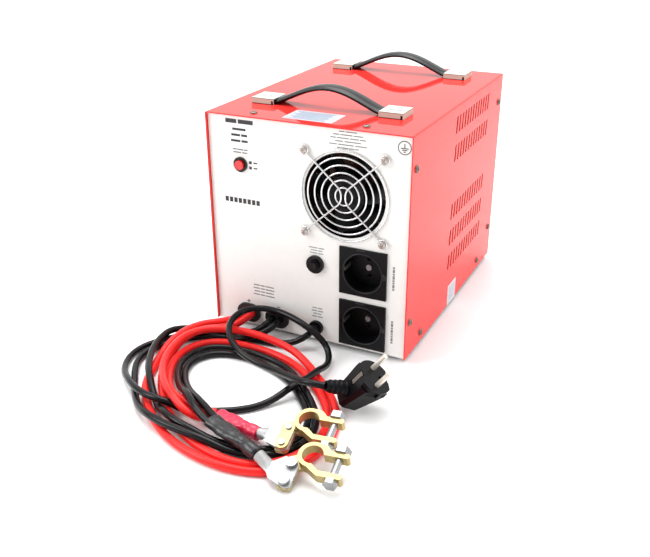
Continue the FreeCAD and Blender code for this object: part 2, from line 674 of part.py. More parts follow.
def cable_hole(name, x, radius):
    return cylinder(name, radius + " + 0.05", 12, (x, PANEL_FACE + " - 6", "outlet_z"), "Y")


def grommet(word, node_name, radius, places):
    """Oval rubber grommet that grips the panel's edge and passes two cables."""
    x = word + "_x"
    front = PANEL_FACE + " - grommet_proud"
    outside = stadium(word + "_outer_lip", x, "grommet_wide", "grommet_high", front, "grommet_proud - 0.02")
    neck = stadium(word + "_neck", x, "grommet_wide - 5.2", "grommet_high - 5.2",
                   PANEL_FACE + " - 0.5", "gauge + 1")
    inside = stadium(word + "_inner_lip", x, "grommet_wide - 1", "grommet_high - 1",
                     PANEL_FACE + " + gauge + 0.02", 2)
    tools = []
    for number, place_x in enumerate(places):
        tools.append(cable_hole("%s_passage%d" % (word, number), place_x, radius))
    node(cut(word + "_grommet_cut", fuse(word + "_grommet_whole", [outside, neck, inside]), tools), node_name)


def strain_relief():
    """Tapered bush of the mains lead: nose and head in front of the panel, and a long neck behind it."""
    x, z = "relief_x", "outlet_z"
    head = cylinder("relief_head", "relief_radius", 4.2, (x, PANEL_FACE + " - 4.22", z), "Y")
    nose = cone("relief_nose", 4.6, 5.2, 6.6, (x, PANEL_FACE + " - 10.8", z), "Y")
    neck = cylinder("relief_neck", "relief_radius - 1.7", "gauge + 9.5", (x, PANEL_FACE + " - 0.5", z), "Y")
    bore = cylinder("relief_bore", "mains_radius + 0.05", 30, (x, PANEL_FACE + " - 12", z), "Y")
    node(cut("relief_cut", fuse("relief_whole", [head, nose, neck]), [bore]), "mains_strain_relief")


# ---------------------------------------------------------------- cables

def rounded_path(points):
    """Straight runs joined by tangent arcs, each as large as its two runs allow."""
    edges = []
    radii = []
    last = points[0]
    for before, here, after in zip(points, points[1:], points[2:]):
        back, ahead = before - here, after - here
        turn = math.pi - back.getAngle(ahead)
        trim = 0.45 * min(back.Length, ahead.Length)
        start = here + back.normalize() * trim
        end = here + ahead.normalize() * trim
        radius = trim / math.tan(turn / 2)
        bisector = (back + ahead).normalize()
        middle = here + bisector * (radius / math.cos(turn / 2) - radius)
        edges.append(Part.LineSegment(last, start).toShape())
        edges.append(Part.Arc(start, middle, end).toShape())
        radii.append(radius)
        last = end
    edges.append(Part.LineSegment(last, points[-1]).toShape())
    return Part.Wire(edges), radii


def cable(name, radius, route):
    """A round cable along its route; its volume has to be its section times its length."""
    points = [V(*place_of_point) for place_of_point in route]
    path, radii = rounded_path(points)
    section = Part.Wire(Part.makeCircle(radius, points[0], points[1] - points[0]))
    tube = path.makePipeShell([section], True, False)
    wanted = math.pi * radius ** 2 * path.Length
    print("%s: %.0f mm long, smallest radii %s, volume ratio %.4f" % (
        name, path.Length, ["%.0f" % value for value in sorted(radii)[:4]], tube.Volume / wanted))
    node(solid(name + "_tube", tube), name)


OUTLET_Y = -146
ROUTES = {
    "red_cable_1": [
        (-74, OUTLET_Y, 19), (-74, -158, 19), (-80.5, -166.5, 16.2), (-95, -171.5, 12.6),
        (-107.5, -181.5, 12.4), (-116, -199, 12.2), (-119.5, -223, 9.5), (-115.5, -249, 5),
        (-107.5, -272, 3.9), (-100, -292.5, 3.9), (-86, -311, 3.9), (-69, -328.5, 3.9),
        (-47.5, -345.5, 3.9), (-23, -358.5, 3.9), (6, -367, 3.9), (37, -369.5, 3.9),
        (66, -363, 3.9), (87, -346, 3.9), (97.5, -321, 3.9), (98, -295, 3.9), (92.5, -271, 3.9),
        (80.2, -250, 3.9), (64.5, -231.5, 3.9), (45.5, -214, 3.8), (28, -199, 5.2), (6, -189, 11.6),
        (-20, -184, 14.6), (-47, -183.5, 16.8), (-75, -187, 17), (-96.5, -199, 16.8),
        (-105, -217, 16.8), (-104, -240, 16.6), (-97, -264, 16.6), (-84, -286, 17),
        (-67, -305, 18.5), (-50.5, -317, 18.7), (-34, -325, 13), (-18, -325, 8.5), (-9, -320.2, 8),
    ],
    "red_cable_2": [
        (-65, OUTLET_Y, 19), (-65, -159, 19), (-72, -172, 14.4), (-85, -180, 12.2),
        (-99, -188.5, 12), (-107.5, -203, 11.5), (-110.5, -223, 8.5), (-106.8, -246, 4.4),
        (-98.5, -267, 3.9), (-87, -285, 3.9), (-73.5, -302, 3.9), (-58.5, -317, 3.9),
        (-43.5, -330, 3.9), (-26.5, -342, 3.9), (-6, -352.5, 3.9), (18, -359, 3.9),
        (42, -360.7, 3.9), (62, -354.4, 3.9), (78, -339, 3.9), (87.5, -317, 3.9), (89.5, -293, 3.9),
        (83.5, -271, 3.9), (71, -251.5, 3.9), (55, -234, 3.9), (38.5, -219, 3.9), (20, -205, 3.9),
        (-2, -195, 3.9), (-27, -190, 3.9), (-53, -189, 3.9), (-77, -193, 3.9), (-94, -205, 3.9),
        (-101.5, -226, 4.1), (-98.3, -249, 5.6), (-87.5, -271, 7), (-73.5, -291, 9),
        (-57, -307, 11.6), (-40, -313, 13), (-24, -314.5, 9), (-8, -311, 8),
    ],
    "black_cable_1": [
        (-40, OUTLET_Y, 19), (-40, -157.5, 19), (-46, -165, 12.3), (-59, -168, 5.5),
        (-77, -167, 3.6), (-96, -169.5, 3.6), (-113, -178, 4), (-125.5, -189.5, 6.8),
        (-132.5, -204, 10.4), (-132, -222, 11), (-127, -240, 11.3), (-119.5, -257, 11.5),
        (-110, -273, 11.8), (-99, -287, 11.5), (-85.2, -301.6, 8), (-74.5, -311.5, 4.6),
        (-63, -322.5, 5.8), (-50, -332.5, 11.4), (-34, -340.5, 12), (-15, -343.5, 10.5),
        (6, -343.5, 4.8), (30, -342, 3.5), (51, -336.5, 3.5), (65.5, -324.5, 3.5),
        (72.5, -308, 3.5), (71.5, -290, 3.5), (64, -273, 3.5), (52.3, -258.6, 3.5),
        (39, -244.6, 3.5), (23.5, -230.5, 3.5), (4, -220, 3.5), (-18, -213, 3.5), (-41, -209, 3.5),
        (-62, -212, 3.5), (-76.5, -222, 3.5), (-83, -238, 3.5), (-79.5, -255, 3.8),
        (-70.5, -269.5, 5), (-59, -283.5, 8), (-45.5, -296, 11), (-31, -307, 15.4),
        (-16, -317, 16.9), (1, -326.5, 15.2),
    ],
    "black_cable_2": [
        (-31, OUTLET_Y, 19), (-31, -158.5, 19), (-35, -167.5, 15), (-43.5, -176, 11.1),
        (-56.5, -182.3, 6.5), (-73, -183.8, 3.6), (-91, -186, 3.5), (-106, -194, 3.5),
        (-117, -206, 3.5), (-126, -219, 3.5), (-133.5, -234, 3.5), (-135.5, -250, 3.5),
        (-130.5, -267, 3.5), (-119.5, -283.5, 3.5), (-107.5, -299.5, 3.5), (-94, -316, 4),
        (-79, -331, 6.5), (-60, -343, 11.6), (-39, -349, 12), (-17, -351, 11.8), (4, -352, 11),
        (27, -350.5, 5), (49, -346, 3.5), (67, -334, 3.5), (77.5, -318, 3.5), (80.5, -300, 3.5),
        (76.5, -281, 3.5), (66.5, -264, 3.5), (52.5, -247.5, 3.5), (37, -232, 3.5),
        (20.5, -217.5, 3.5), (0, -206, 3.5), (-22, -200.5, 3.5), (-46, -198, 3.5), (-69, -201, 3.5),
        (-85, -210.5, 3.5), (-92, -227, 3.5), (-90.5, -247, 3.8), (-82.5, -264, 5.5),
        (-70.5, -280.5, 8.5), (-57, -295.5, 12.8), (-41.5, -308.5, 19.6), (-26, -321.5, 19.9),
        (-12, -330, 16.8), (-1.5, -334, 15.2),
    ],
    "mains_cord": [
        (10.5, -152, 19), (10.5, -160.5, 19), (5, -167.5, 14.5), (-6, -170.5, 8), (-20, -171.5, 4),
        (-37, -173.4, 3.4), (-56, -175.4, 3.4), (-77, -176.2, 3.4), (-96, -178, 3.4),
        (-112, -187, 3.4), (-124, -201, 3.4), (-136, -217, 3.4), (-145, -234, 3.4),
        (-146.5, -253, 3.4), (-140, -272, 3.8), (-127.5, -289, 6.5), (-111.5, -302.5, 10.2),
        (-96, -313, 12), (-80, -319.5, 13.1), (-64, -321.5, 13.7), (-52, -319, 11.2),
        (-41.5, -316, 5.4), (-30, -311, 3.5), (-15, -303.5, 3.4), (2, -294, 3.4), (16, -281, 3.4),
        (26, -265, 5.2), (34, -248, 10.8), (41.5, -231, 12), (44.5, -213, 12.3), (44.5, -196, 6.7),
        (41, -181, 5), (35, -170.5, 9.5), (27, -166, 16), (17, -165, 22.5), (5, -163, 27.5),
        (-10, -159, 30.5), (-28, -154.5, 31.5), (-46, -155, 32), (-60, -161, 31.5), (-68, -175, 30),
        (-67, -193, 27), (-57, -209.5, 23.5), (-41, -222, 20), (-22, -230, 17), (-4, -235, 17),
        (13, -241, 19.5), (30, -249.5, 23.5), (47, -259, 28), (60.5, -264.3, 31.4),
        (76, -262.3, 31.6),
    ],
}


def cables():
    for name, route in ROUTES.items():
        kind = name.split("_")[0]
        cable(name, size(kind + "_radius"), route)


# ---------------------------------------------------------------- battery clamps

CLAMP_FORWARD = V(0.10, -0.958, -0.27).normalize()
CLAMP_NORMAL = V(0.995, 0.09, 0.04).cross(-CLAMP_FORWARD).normalize()
CLAMP_SIDE = (-CLAMP_FORWARD).cross(CLAMP_NORMAL).normalize()
CLAMP_PLACES = {"positive": V(82.2, -305.2, 21), "negative": V(103.2, -340.6, 16)}
LEAD_ENDS = {
    "positive": (V(-5, -315, 8.2), V(42.8, -323.8, 9.5)),
    "negative": (V(0.3, -330.8, 15.1), V(58, -353, 13.7)),
}
SLEEVE_SECTION = {"positive": (9.6, 5.2), "negative": (8.4, 5.0)}
EAR_LOW, EAR_HIGH, EAR_END = -19.0, 6.5, 30.0
BOLT_X = 21.5
BOLT_RADIUS, HEAD_ACROSS, HEAD_TALL = 3.2, 13.0, 6.5
SMALL_ACROSS, SMALL_TALL = 10.5, 4.5
RING_HOLE, RING_OUT, CLAMP_HALF = 9.0, 12.5, 4.5
TAB_THICK, LUG_THICK, BAR_THICK = 3.0, 2.4, 2.4
LUG_HOLES = [(-14.8, -10.5), (-14.8, -27.5)]


def clamp_frame(word):
    """Placement that takes the clamp's own axes to where the clamp lies."""
    turn = FreeCAD.Rotation(CLAMP_SIDE, -CLAMP_FORWARD, CLAMP_NORMAL, "ZXY")
    return FreeCAD.Placement(CLAMP_PLACES[word], turn)


def slab(points, low, high):
    """Flat plate in the clamp's own axes, between two heights."""
    corners = [V(x, y, low) for x, y in points]
    return Part.Face(Part.makePolygon(corners + corners[:1])).extrude(V(0, 0, high - low))


def lug_bores(low, high, radius=2.1):
    return [Part.makeCylinder(radius, high - low, V(x, y, low)) for x, y in LUG_HOLES]


def clamp_body():
    """Split ring for the battery post, with two ears for the bolt and a tab for the lug."""
    ring = Part.makeCylinder(RING_OUT, 2 * CLAMP_HALF, V(0, 0, -CLAMP_HALF))
    upper = slab([(2, 12.3), (9, 11.2), (14, EAR_HIGH), (EAR_END - 1.5, EAR_HIGH), (EAR_END, EAR_HIGH - 1.5),
                  (EAR_END, 3.1), (EAR_END - 1.5, 1.6), (9, 1.6), (5, 6)], -CLAMP_HALF, CLAMP_HALF)
    lower = slab([(-2, -12.2), (4, -16), (9, EAR_LOW), (EAR_END - 1.5, EAR_LOW), (EAR_END, EAR_LOW + 1.5),
                  (EAR_END, -15.7), (EAR_END - 1.5, -14.2), (11, -14.2), (6, -8)], -CLAMP_HALF, CLAMP_HALF)
    tab = slab([(-11.5, 3), (-21, -3), (-21, -31), (-19, -33), (-11, -33), (-9, -31), (-9, -13), (-4, -11)],
               -CLAMP_HALF, TAB_THICK - CLAMP_HALF)
    hole = Part.makeCylinder(RING_HOLE, 30, V(0, 0, -15))
    mouth = slab([(2, -9), (9, -14.2), (40, -14.2), (40, 1.6), (6, 1.6), (2, -2)], -15, 15)
    bolt_way = Part.makeCylinder(3.4, 60, V(BOLT_X, -40, 0), BACK)
    shape = ring.fuse([upper, lower, tab]).cut([hole, mouth, bolt_way] + lug_bores(-6, 0))
    return shape


def flattened_sleeve(start, end, wide, high, radius):
    """Shell that runs from an oval section at one point to a round one at another."""
    along = (end - start).normalize()
    side = UP.cross(along).normalize()
    lift = along.cross(side).normalize()
    first = Part.Ellipse(start + side * wide, start + lift * high, start)
    last = Part.Ellipse(end + side * (radius + 0.01), end + lift * radius, end)
    return Part.makeLoft([Part.Wire(first.toShape()), Part.Wire(last.toShape())], True)


def lug_shape(word):
    """Tinned lug in the clamp's own axes: a barrel that grips the cores and a plate on the tab."""
    low = TAB_THICK - CLAMP_HALF + 0.05
    outline = [(-11.2, -6.8), (-8.5, -12.5), (-8.5, -31), (-13, -33.5),
               (-29, -28), (-33, -22), (-32, -12), (-22, -4)]
    plate = slab(outline, low, low + LUG_THICK)
    back = clamp_frame(word).inverse()
    start = back.multVec(LEAD_ENDS[word][1])
    middle = low + LUG_THICK / 2
    end = V(-31, -17, middle)
    along = (end - start).normalize()
    round_end = Part.Wire(Part.makeCircle(5.4, start + along * 2.2, along))
    rounded = Part.BSplineCurve()
    turns = [math.pi * step / 6 for step in range(12)]
    rounded.interpolate([end + V(0, 6.5 * math.cos(turn), 0.95 * math.sin(turn)) for turn in turns], True)
    barrel = Part.makeLoft([round_end, Part.Wire(rounded.toShape())], True)
    return plate.fuse(barrel).cut(lug_bores(low - 1, low + 5))


def hex_bar(across, length, start, direction, bore=0.0):
    """Hexagon bar, bored for nuts."""
    placement = FreeCAD.Placement(start, FreeCAD.Rotation(UP, direction))
    corners = [placement.multVec(V(across / 1.732 * math.cos(turn), across / 1.732 * math.sin(turn), 0))
               for turn in [math.pi * step / 3 for step in range(6)]]
    bar = Part.Face(Part.makePolygon(corners + corners[:1])).extrude(direction * length)
    if bore:
        bar = bar.cut(Part.makeCylinder(bore, length + 2, start - direction, direction))
    return bar


def clamp_bolt(word):
    """Hexagon bolt through both ears; the negative clamp's bolt is put in from below."""
    if word == "positive":
        head = hex_bar(HEAD_ACROSS, HEAD_TALL, V(BOLT_X, EAR_HIGH + 0.05, 0), BACK)
        shank_end, long = EAR_HIGH - 30, 31
    else:
        head = hex_bar(SMALL_ACROSS, SMALL_TALL, V(BOLT_X, EAR_LOW - SMALL_TALL - 0.05, 0), BACK)
        shank_end, long = EAR_LOW - 1, 36
    return head.fuse(Part.makeCylinder(BOLT_RADIUS, long, V(BOLT_X, shank_end, 0), BACK))


def clamp_nut(word):
    """Nut at the other end of the bolt: a small one below, or a large one on top."""
    bore = BOLT_RADIUS + 0.1
    if word == "positive":
        return hex_bar(SMALL_ACROSS, SMALL_TALL, V(BOLT_X, EAR_LOW - SMALL_TALL - 0.05, 0), BACK, bore)
    return hex_bar(HEAD_ACROSS, HEAD_TALL, V(BOLT_X, EAR_HIGH + 0.05, 0), BACK, bore)


def lug_screws(word):
    """Two screws that hold the lug on the tab: flat small heads, or tall round ones."""
    top = TAB_THICK - CLAMP_HALF + LUG_THICK + 0.1
    head, tall = (2.9, 1.4) if word == "positive" else (4.7, 3.4)
    if word == "positive":
        top += BAR_THICK
    pieces = []
    for x, y in LUG_HOLES:
        shank = Part.makeCylinder(1.95, top + CLAMP_HALF - 0.4, V(x, y, -CLAMP_HALF + 0.6))
        pieces.append(Part.makeCylinder(head, tall, V(x, y, top)).fuse(shank))
    return Part.makeCompound(pieces)


def clamps():
    bolts = []
    nuts = []
    for word in ("positive", "negative"):
        frame = clamp_frame(word)
        made = (("clamp", clamp_body()), ("lug", lug_shape(word)), ("lug_screws", lug_screws(word)))
        for kind, shape in made:
            shape.Placement = frame
            node(solid("%s_%s_shape" % (word, kind), shape), "%s_%s" % (word, kind))
        start, end = LEAD_ENDS[word]
        gap = (end - start).normalize() * 0.6
        wide, high = SLEEVE_SECTION[word]
        sleeve = flattened_sleeve(start + gap, end, wide, high, 6.2)
        node(solid(word + "_sleeve_shape", sleeve), word + "_sleeve")
        for pieces, shape in ((bolts, clamp_bolt(word)), (nuts, clamp_nut(word))):
            shape.Placement = frame
            pieces.append(shape)
    node(solid("clamp_bolt_shapes", Part.makeCompound(bolts)), "clamp_bolts")
    node(solid("clamp_nut_shapes", Part.makeCompound(nuts)), "clamp_nuts")
    node(solid("clamp_bar_shape", clamp_bar()), "positive_clamp_bar")


def clamp_bar():
    """Round-ended brass bar under the heads of the positive lug's screws."""
    low = TAB_THICK - CLAMP_HALF + LUG_THICK + 0.1
    half = 5.6
    ends = [Part.makeCylinder(half, BAR_THICK, V(x, y, low)) for x, y in LUG_HOLES]
    (x, top), (_, bottom) = LUG_HOLES
    middle = Part.makeBox(2 * half, top - bottom, BAR_THICK, V(x - half, bottom, low))
    bar = ends[0].fuse([ends[1], middle]).cut(lug_bores(low - 1, low + 4))
    bar.Placement = clamp_frame("positive")
    return bar


# ---------------------------------------------------------------- plug

PLUG_FACE = V(113.7, -238.9, 38.0)
PLUG_OUT = V(0.6095, 0.0251, 0.7923).normalize()
PLUG_PINS = V(0.5332, -0.7526, -0.3864)
PLUG_LEAD = PLUG_PINS.cross(PLUG_OUT).normalize()
FACE_RADIUS, FACE_HALF, RIM_DEEP, FOOT_DEEP = 17.6, 14.5, 9, 38.4
NECK_START, NECK_WAY, NECK_LONG = V(3.5, 0, -22), V(0.978, 0, -0.208), 31.5
PIN_PLACES = (-9.5, 9.5)


def plug_frame():
    """The plug's own axes: X towards its lead, Y the pins' row, Z out of its face."""
    return FreeCAD.Placement(PLUG_FACE, FreeCAD.Rotation(PLUG_LEAD, PLUG_PINS, PLUG_OUT, "ZXY"))


def bevelled_ring(x_low, x_high, half, corner, z):
    """Rectangle with cut corners, as a closed wire at one depth of the plug."""
    corners = [V(x_low + corner, -half, z), V(x_high - corner, -half, z), V(x_high, corner - half, z),
               V(x_high, half - corner, z), V(x_high - corner, half, z), V(x_low + corner, half, z),
               V(x_low, half - corner, z), V(x_low, corner - half, z)]
    return Part.makePolygon(corners + corners[:1])


def plug_body():
    """Round face with two flats, a faceted body that slopes to its foot, and a neck for the lead."""
    disc = Part.makeCylinder(FACE_RADIUS, RIM_DEEP, V(0, 0, -RIM_DEEP))
    flats = Part.makeBox(2 * FACE_HALF, 60, 60, V(-FACE_HALF, -30, -30))
    body = Part.makeLoft([bevelled_ring(-FACE_HALF, FACE_HALF, 16.4, 4.5, -5),
                          bevelled_ring(-6, FACE_HALF, 11, 3, -FOOT_DEEP)], True, True)
    neck = Part.makeCone(8.0, 4.9, NECK_LONG, NECK_START, NECK_WAY)
    cord_seat = NECK_START + NECK_WAY * (NECK_LONG - 11)
    cuts = [Part.makeCylinder(2.45, 8, V(0, y, -6)) for y in PIN_PLACES]
    cuts += [Part.makeBox(3, 6, 17, V(x, -3, -16)) for x in (-FACE_HALF - 1.4, FACE_HALF - 1.6)]
    cuts += [Part.makeBox(5, 3, 7, V(-2.5, y, -9)) for y in (-18.3, 15.3)]
    cuts.append(Part.makeCylinder(2.4, 8, V(-6.5, 0, -6)))
    cuts.append(Part.makeCylinder(3.4, 12, cord_seat, NECK_WAY))
    return disc.common(flats).fuse([body, neck]).cut(cuts)


def plug():
    """The plug's body, its two round pins and its two earth clips."""
    pins = [Part.makeCylinder(2.4, 24, V(0, y, -5)) for y in PIN_PLACES]
    clips = [Part.makeBox(1, 4.4, 14, V(x, -2.2, -14.5)) for x in (-FACE_HALF, FACE_HALF - 1)]
    made = (("plug_body", plug_body()), ("plug_pins", Part.makeCompound(pins)),
            ("plug_earth_clips", Part.makeCompound(clips)))
    for name, shape in made:
        shape.Placement = plug_frame()
        node(solid(name + "_shape", shape), name)


# ---------------------------------------------------------------- inside the case

FLOOR_TOP = "(case_bottom + gauge)"


def transformer():
    """Toroidal transformer: the wound core, two pads, the dish washer and its bolt."""
    x, y = "core_x", "core_y"
    low = FLOOR_TOP + " + 1.6"
    outer = cylinder("core_outer", "core_radius", "core_high", (x, y, low))
    bore = cylinder("core_bore", "core_hole", "core_high + 2", (x, y, low + " - 1"))
    node(cut("core_cut", outer, [bore]), "transformer_toroid")
    pads = []
    for word, z in (("low", FLOOR_TOP + " + 0.02"), ("high", low + " + core_high + 0.02")):
        pad_disc = cylinder("pad_" + word, "core_radius - 6", 1.5, (x, y, z))
        hole = cylinder("pad_hole_" + word, 5, 4, (x, y, z + " - 1"))
        pads.append(cut("pad_cut_" + word, pad_disc, [hole]))
    node(group("pad_group", pads), "transformer_pads")
    top = low + " + core_high + 1.55"
    dish = cone("dish_outer", "core_radius - 14", "core_radius - 18", 2.5, (x, y, top))
    dish_hole = cylinder("dish_hole", 4.2, 5, (x, y, top + " - 1"))
    node(cut("dish_cut", dish, [dish_hole]), "transformer_dish")
    shank = cylinder("core_bolt_shank", 4, "core_high + 11", (x, y, "case_bottom - 1"))
    foot = cylinder("core_bolt_foot", 7, 3, (x, y, "case_bottom - 3.1"))
    bolt = fuse("core_bolt", [shank, foot])
    nut = doc.addObject("Part::Prism", "core_nut_hex")
    nut.Polygon = 6
    bind(nut, Circumradius="7.5", Height="6")
    place(nut, (x, y, top + " + 2.55"))
    hole = cylinder("core_nut_bore", 4.1, 9, (x, y, top + " + 1"))
    nut_ring = cut("core_nut_cut", nut, [hole])
    node(group("core_fasteners", [bolt, nut_ring]), "transformer_bolt_and_nut")


def board_corner(sx, sy):
    return "board_x + %d * (board_wide / 2 - 6)" % sx, "board_y + %d * (board_long / 2 - 6)" % sy


def power_board():
    """Power board on four posts, with two finned heat sinks and a row of large capacitors."""
    plate = box("board_plate", ("board_wide", "board_long", 1.6),
                ("board_x - board_wide / 2", "board_y - board_long / 2", "board_z"))
    posts = []
    holes = []
    for number, (sx, sy) in enumerate(FAN_CORNERS):
        x, y = board_corner(sx, sy)
        posts.append(cylinder("post%d" % number, 3.5, "board_z - case_bottom - gauge - 0.1",
                              (x, y, FLOOR_TOP + " + 0.05")))
        holes.append(cylinder("board_hole%d" % number, 1.7, 6, (x, y, "board_z - 2")))
    node(cut("board_cut", plate, holes), "power_board")
    node(group("post_group", posts), "board_standoffs")
    sinks = []
    above = "board_z + 1.65"
    for word, y in (("front", "board_y - board_long / 2 + 16"), ("rear", "board_y + board_long / 2 - 16")):
        pieces = [box(word + "_sink_base", ("board_wide - 30", 5, 46),
                      ("board_x - board_wide / 2 + 15", y + " - 2.5", above))]
        for number in range(7):
            x = "board_x - board_wide / 2 + 17 + %d" % (12 * number)
            pieces.append(box("%s_fin%d" % (word, number), (2, 18, 46), (x, y + " - 9", above)))
        sinks.append(fuse(word + "_sink", pieces))
    node(group("sink_group", sinks), "heat_sinks")
    cans = [cylinder("capacitor%d" % number, 8, 32, ("board_x - 36 + %d" % (24 * number), "board_y", above))
            for number in range(4)]
    node(group("capacitor_group", cans), "capacitors")


# ---------------------------------------------------------------- user side, at the back

ROCKER_TILT = 8.0


def user_side():
    """Rocker switch, display window and three indicator lenses on the rear panel."""
    rim = box("rocker_rim", (32, 2, 24), ("rocker_x - 16", BACK_FACE + " + 0.02", "rocker_z - 12"))
    sides = box("rocker_box", (27.6, 18, 20), ("rocker_x - 13.8", BACK_FACE + " - 17", "rocker_z - 10"))
    room = box("rocker_room", (24, 12, 17), ("rocker_x - 12", BACK_FACE + " - 8", "rocker_z - 8.5"))
    node(cut("rocker_frame_cut", fuse("rocker_frame_whole", [rim, sides]), [room]), "power_rocker_frame")
    pivot = V(size("rocker_x"), size("case_depth") / 2 - size("panel_recess") - 2.5, size("rocker_z"))
    block = Part.makeBox(23.4, 7, 14, pivot - V(11.7, 0, 7))
    rocker = block.fuse(Part.makeCylinder(3, 23.4, pivot - V(11.7, 0, 0), RIGHT))
    rocker.rotate(pivot, RIGHT, -ROCKER_TILT)
    node(solid("rocker_shape", rocker), "power_rocker")
    node(box("window_pane", (90, 1.6, 50), ("-45", BACK_FACE + " + 0.02", "window_z - 25")), "display_window")
    lights = []
    for number, x in enumerate(LIGHT_PLACES):
        stem = cylinder("light_stem%d" % number, 2.5, 8, (x, BACK_FACE + " - 6", "light_z"), "Y")
        lens = cylinder("light_lens%d" % number, 3.6, 1.6, (x, BACK_FACE + " + 0.02", "light_z"), "Y")
        lights.append(fuse("light%d" % number, [stem, lens]))
    node(group("light_group", lights), "status_lights")


# ---------------------------------------------------------------- writing

def check(thing):
    """Refuse a sub-part that failed to build."""
    shape = thing.Shape
    if shape.isNull() or not shape.isValid() or not shape.Solids:
        raise RuntimeError("%s has no valid solid" % thing.Label)


def write_parts():
    doc.recompute()
    failed = [thing.Label for thing in doc.Objects if "Invalid" in thing.State or "Error" in thing.State]
    if failed:
        raise RuntimeError("failed objects: " + ", ".join(failed))
    for thing in NODES:
        check(thing)
    os.makedirs("parts", exist_ok=True)
    for thing in NODES:
        thing.Shape.exportStep("parts/%s.step" % thing.Label)
    print("%d sub-parts written" % len(NODES))


fill_sheet()
top_cover()
front_panel()
back_panel()
base_plate()
feet()
cover_screws()
handles()
fan_frame()
fan_rotor()
fan_guard()
fan_fasteners()
charge_button()
thermal_breaker()
socket_housing("upper")
socket_housing("lower")
socket_metal()
grommet("plus", "positive_grommet", "red_radius", (-74, -65))
grommet("minus", "negative_grommet", "black_radius", (-40, -31))
strain_relief()
cables()
clamps()
plug()
transformer()
power_board()
user_side()
write_parts()
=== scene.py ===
import math
import bmesh
import bpy
from mathutils import Euler, Matrix, Vector


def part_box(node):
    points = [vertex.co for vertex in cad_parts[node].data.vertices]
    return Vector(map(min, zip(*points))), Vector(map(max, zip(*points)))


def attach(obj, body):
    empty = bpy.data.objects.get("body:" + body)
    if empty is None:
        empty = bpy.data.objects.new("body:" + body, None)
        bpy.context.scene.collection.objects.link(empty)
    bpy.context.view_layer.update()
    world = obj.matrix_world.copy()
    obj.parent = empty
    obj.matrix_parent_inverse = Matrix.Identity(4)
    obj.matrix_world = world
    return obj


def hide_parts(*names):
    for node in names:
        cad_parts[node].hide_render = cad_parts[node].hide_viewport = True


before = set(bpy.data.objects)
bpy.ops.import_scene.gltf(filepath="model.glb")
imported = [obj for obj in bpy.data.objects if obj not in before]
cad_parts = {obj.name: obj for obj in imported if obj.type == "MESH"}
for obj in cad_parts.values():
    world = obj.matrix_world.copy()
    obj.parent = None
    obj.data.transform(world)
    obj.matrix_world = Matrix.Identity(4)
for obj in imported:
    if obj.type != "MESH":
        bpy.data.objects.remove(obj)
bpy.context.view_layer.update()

# Looks of the power inverter.  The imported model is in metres, and its socket panel faces -Y.
# Sizes below are in millimetres and are multiplied by MM where they are used.

MM = 0.001
RIGHT = Vector((1, 0, 0))
BACK = Vector((0, 1, 0))
UP = Vector((0, 0, 1))
TO_FRONT = Vector((0, -1, 0))
CASE = "case"


def add_object(name, data):
    """A new object in the scene."""
    obj = bpy.data.objects.new(name, data)
    bpy.context.scene.collection.objects.link(obj)
    return obj


# ---------------------------------------------------------------- camera, light and floor

CAMERA_PLACE = (0.3508, -0.8298, 0.4342)
CAMERA_AZIMUTH = 25.83
CAMERA_ELEVATION = 25.25
CAMERA_ROLL = -0.18
CAMERA_LENS = 46.34

# Place, target, width, height and watts of each soft light.
SOFTBOXES = {
    "overhead": ((-0.3, 0.3, 1.9), (0, 0, 0.1), 1.6, 1.3, 40),
    "left_front": ((-1.5, -1.2, 1.3), (0, -0.1, 0.1), 0.9, 1.0, 24),
    "right_side": ((1.9, 0.2, 1.1), (0.1, 0, 0.1), 1.0, 1.0, 9),
}
SKY_IN_FRONT = 0.62
SKY_BEHIND = 1.35
FLOOR_REACH = 6.0


def add_camera():
    """Camera to the right of the socket panel and well above it."""
    data = bpy.data.cameras.new("camera")
    data.sensor_width = 36.0
    data.lens = CAMERA_LENS
    data.clip_start = 0.01
    obj = add_object("camera", data)
    tilt = math.radians(90 - CAMERA_ELEVATION)
    turn = Euler((tilt, 0, math.radians(CAMERA_AZIMUTH))).to_matrix()
    turn = turn @ Matrix.Rotation(math.radians(CAMERA_ROLL), 3, "Z")
    obj.matrix_world = Matrix.Translation(CAMERA_PLACE) @ turn.to_4x4()
    bpy.context.scene.camera = obj


def add_softbox(name):
    """One large rectangular light, aimed at its target."""
    place, target, width, height, power = SOFTBOXES[name]
    data = bpy.data.lights.new(name, "AREA")
    data.shape = "RECTANGLE"
    data.size = width
    data.size_y = height
    data.energy = power
    obj = add_object(name, data)
    obj.location = place
    aim = Vector(target) - Vector(place)
    obj.rotation_euler = aim.to_track_quat("-Z", "Y").to_euler()


def add_world():
    """Bright white surroundings behind the object, and a dimmer room in front of it."""
    world = bpy.data.worlds.new("studio")
    world.use_nodes = True
    tree = world.node_tree
    sky = tree.nodes["Background"]
    sky.inputs["Color"].default_value = (1, 1, 1, 1)
    place = tree.nodes.new("ShaderNodeTexCoord")
    parts = tree.nodes.new("ShaderNodeSeparateXYZ")
    tree.links.new(place.outputs["Generated"], parts.inputs["Vector"])
    glow = node(tree, "ShaderNodeMapRange", From_Min=-0.5, From_Max=0.5,
                To_Min=SKY_IN_FRONT, To_Max=SKY_BEHIND)
    glow.interpolation_type = "SMOOTHSTEP"
    tree.links.new(parts.outputs["Y"], glow.inputs["Value"])
    tree.links.new(glow.outputs["Result"], sky.inputs["Strength"])
    bpy.context.scene.world = world


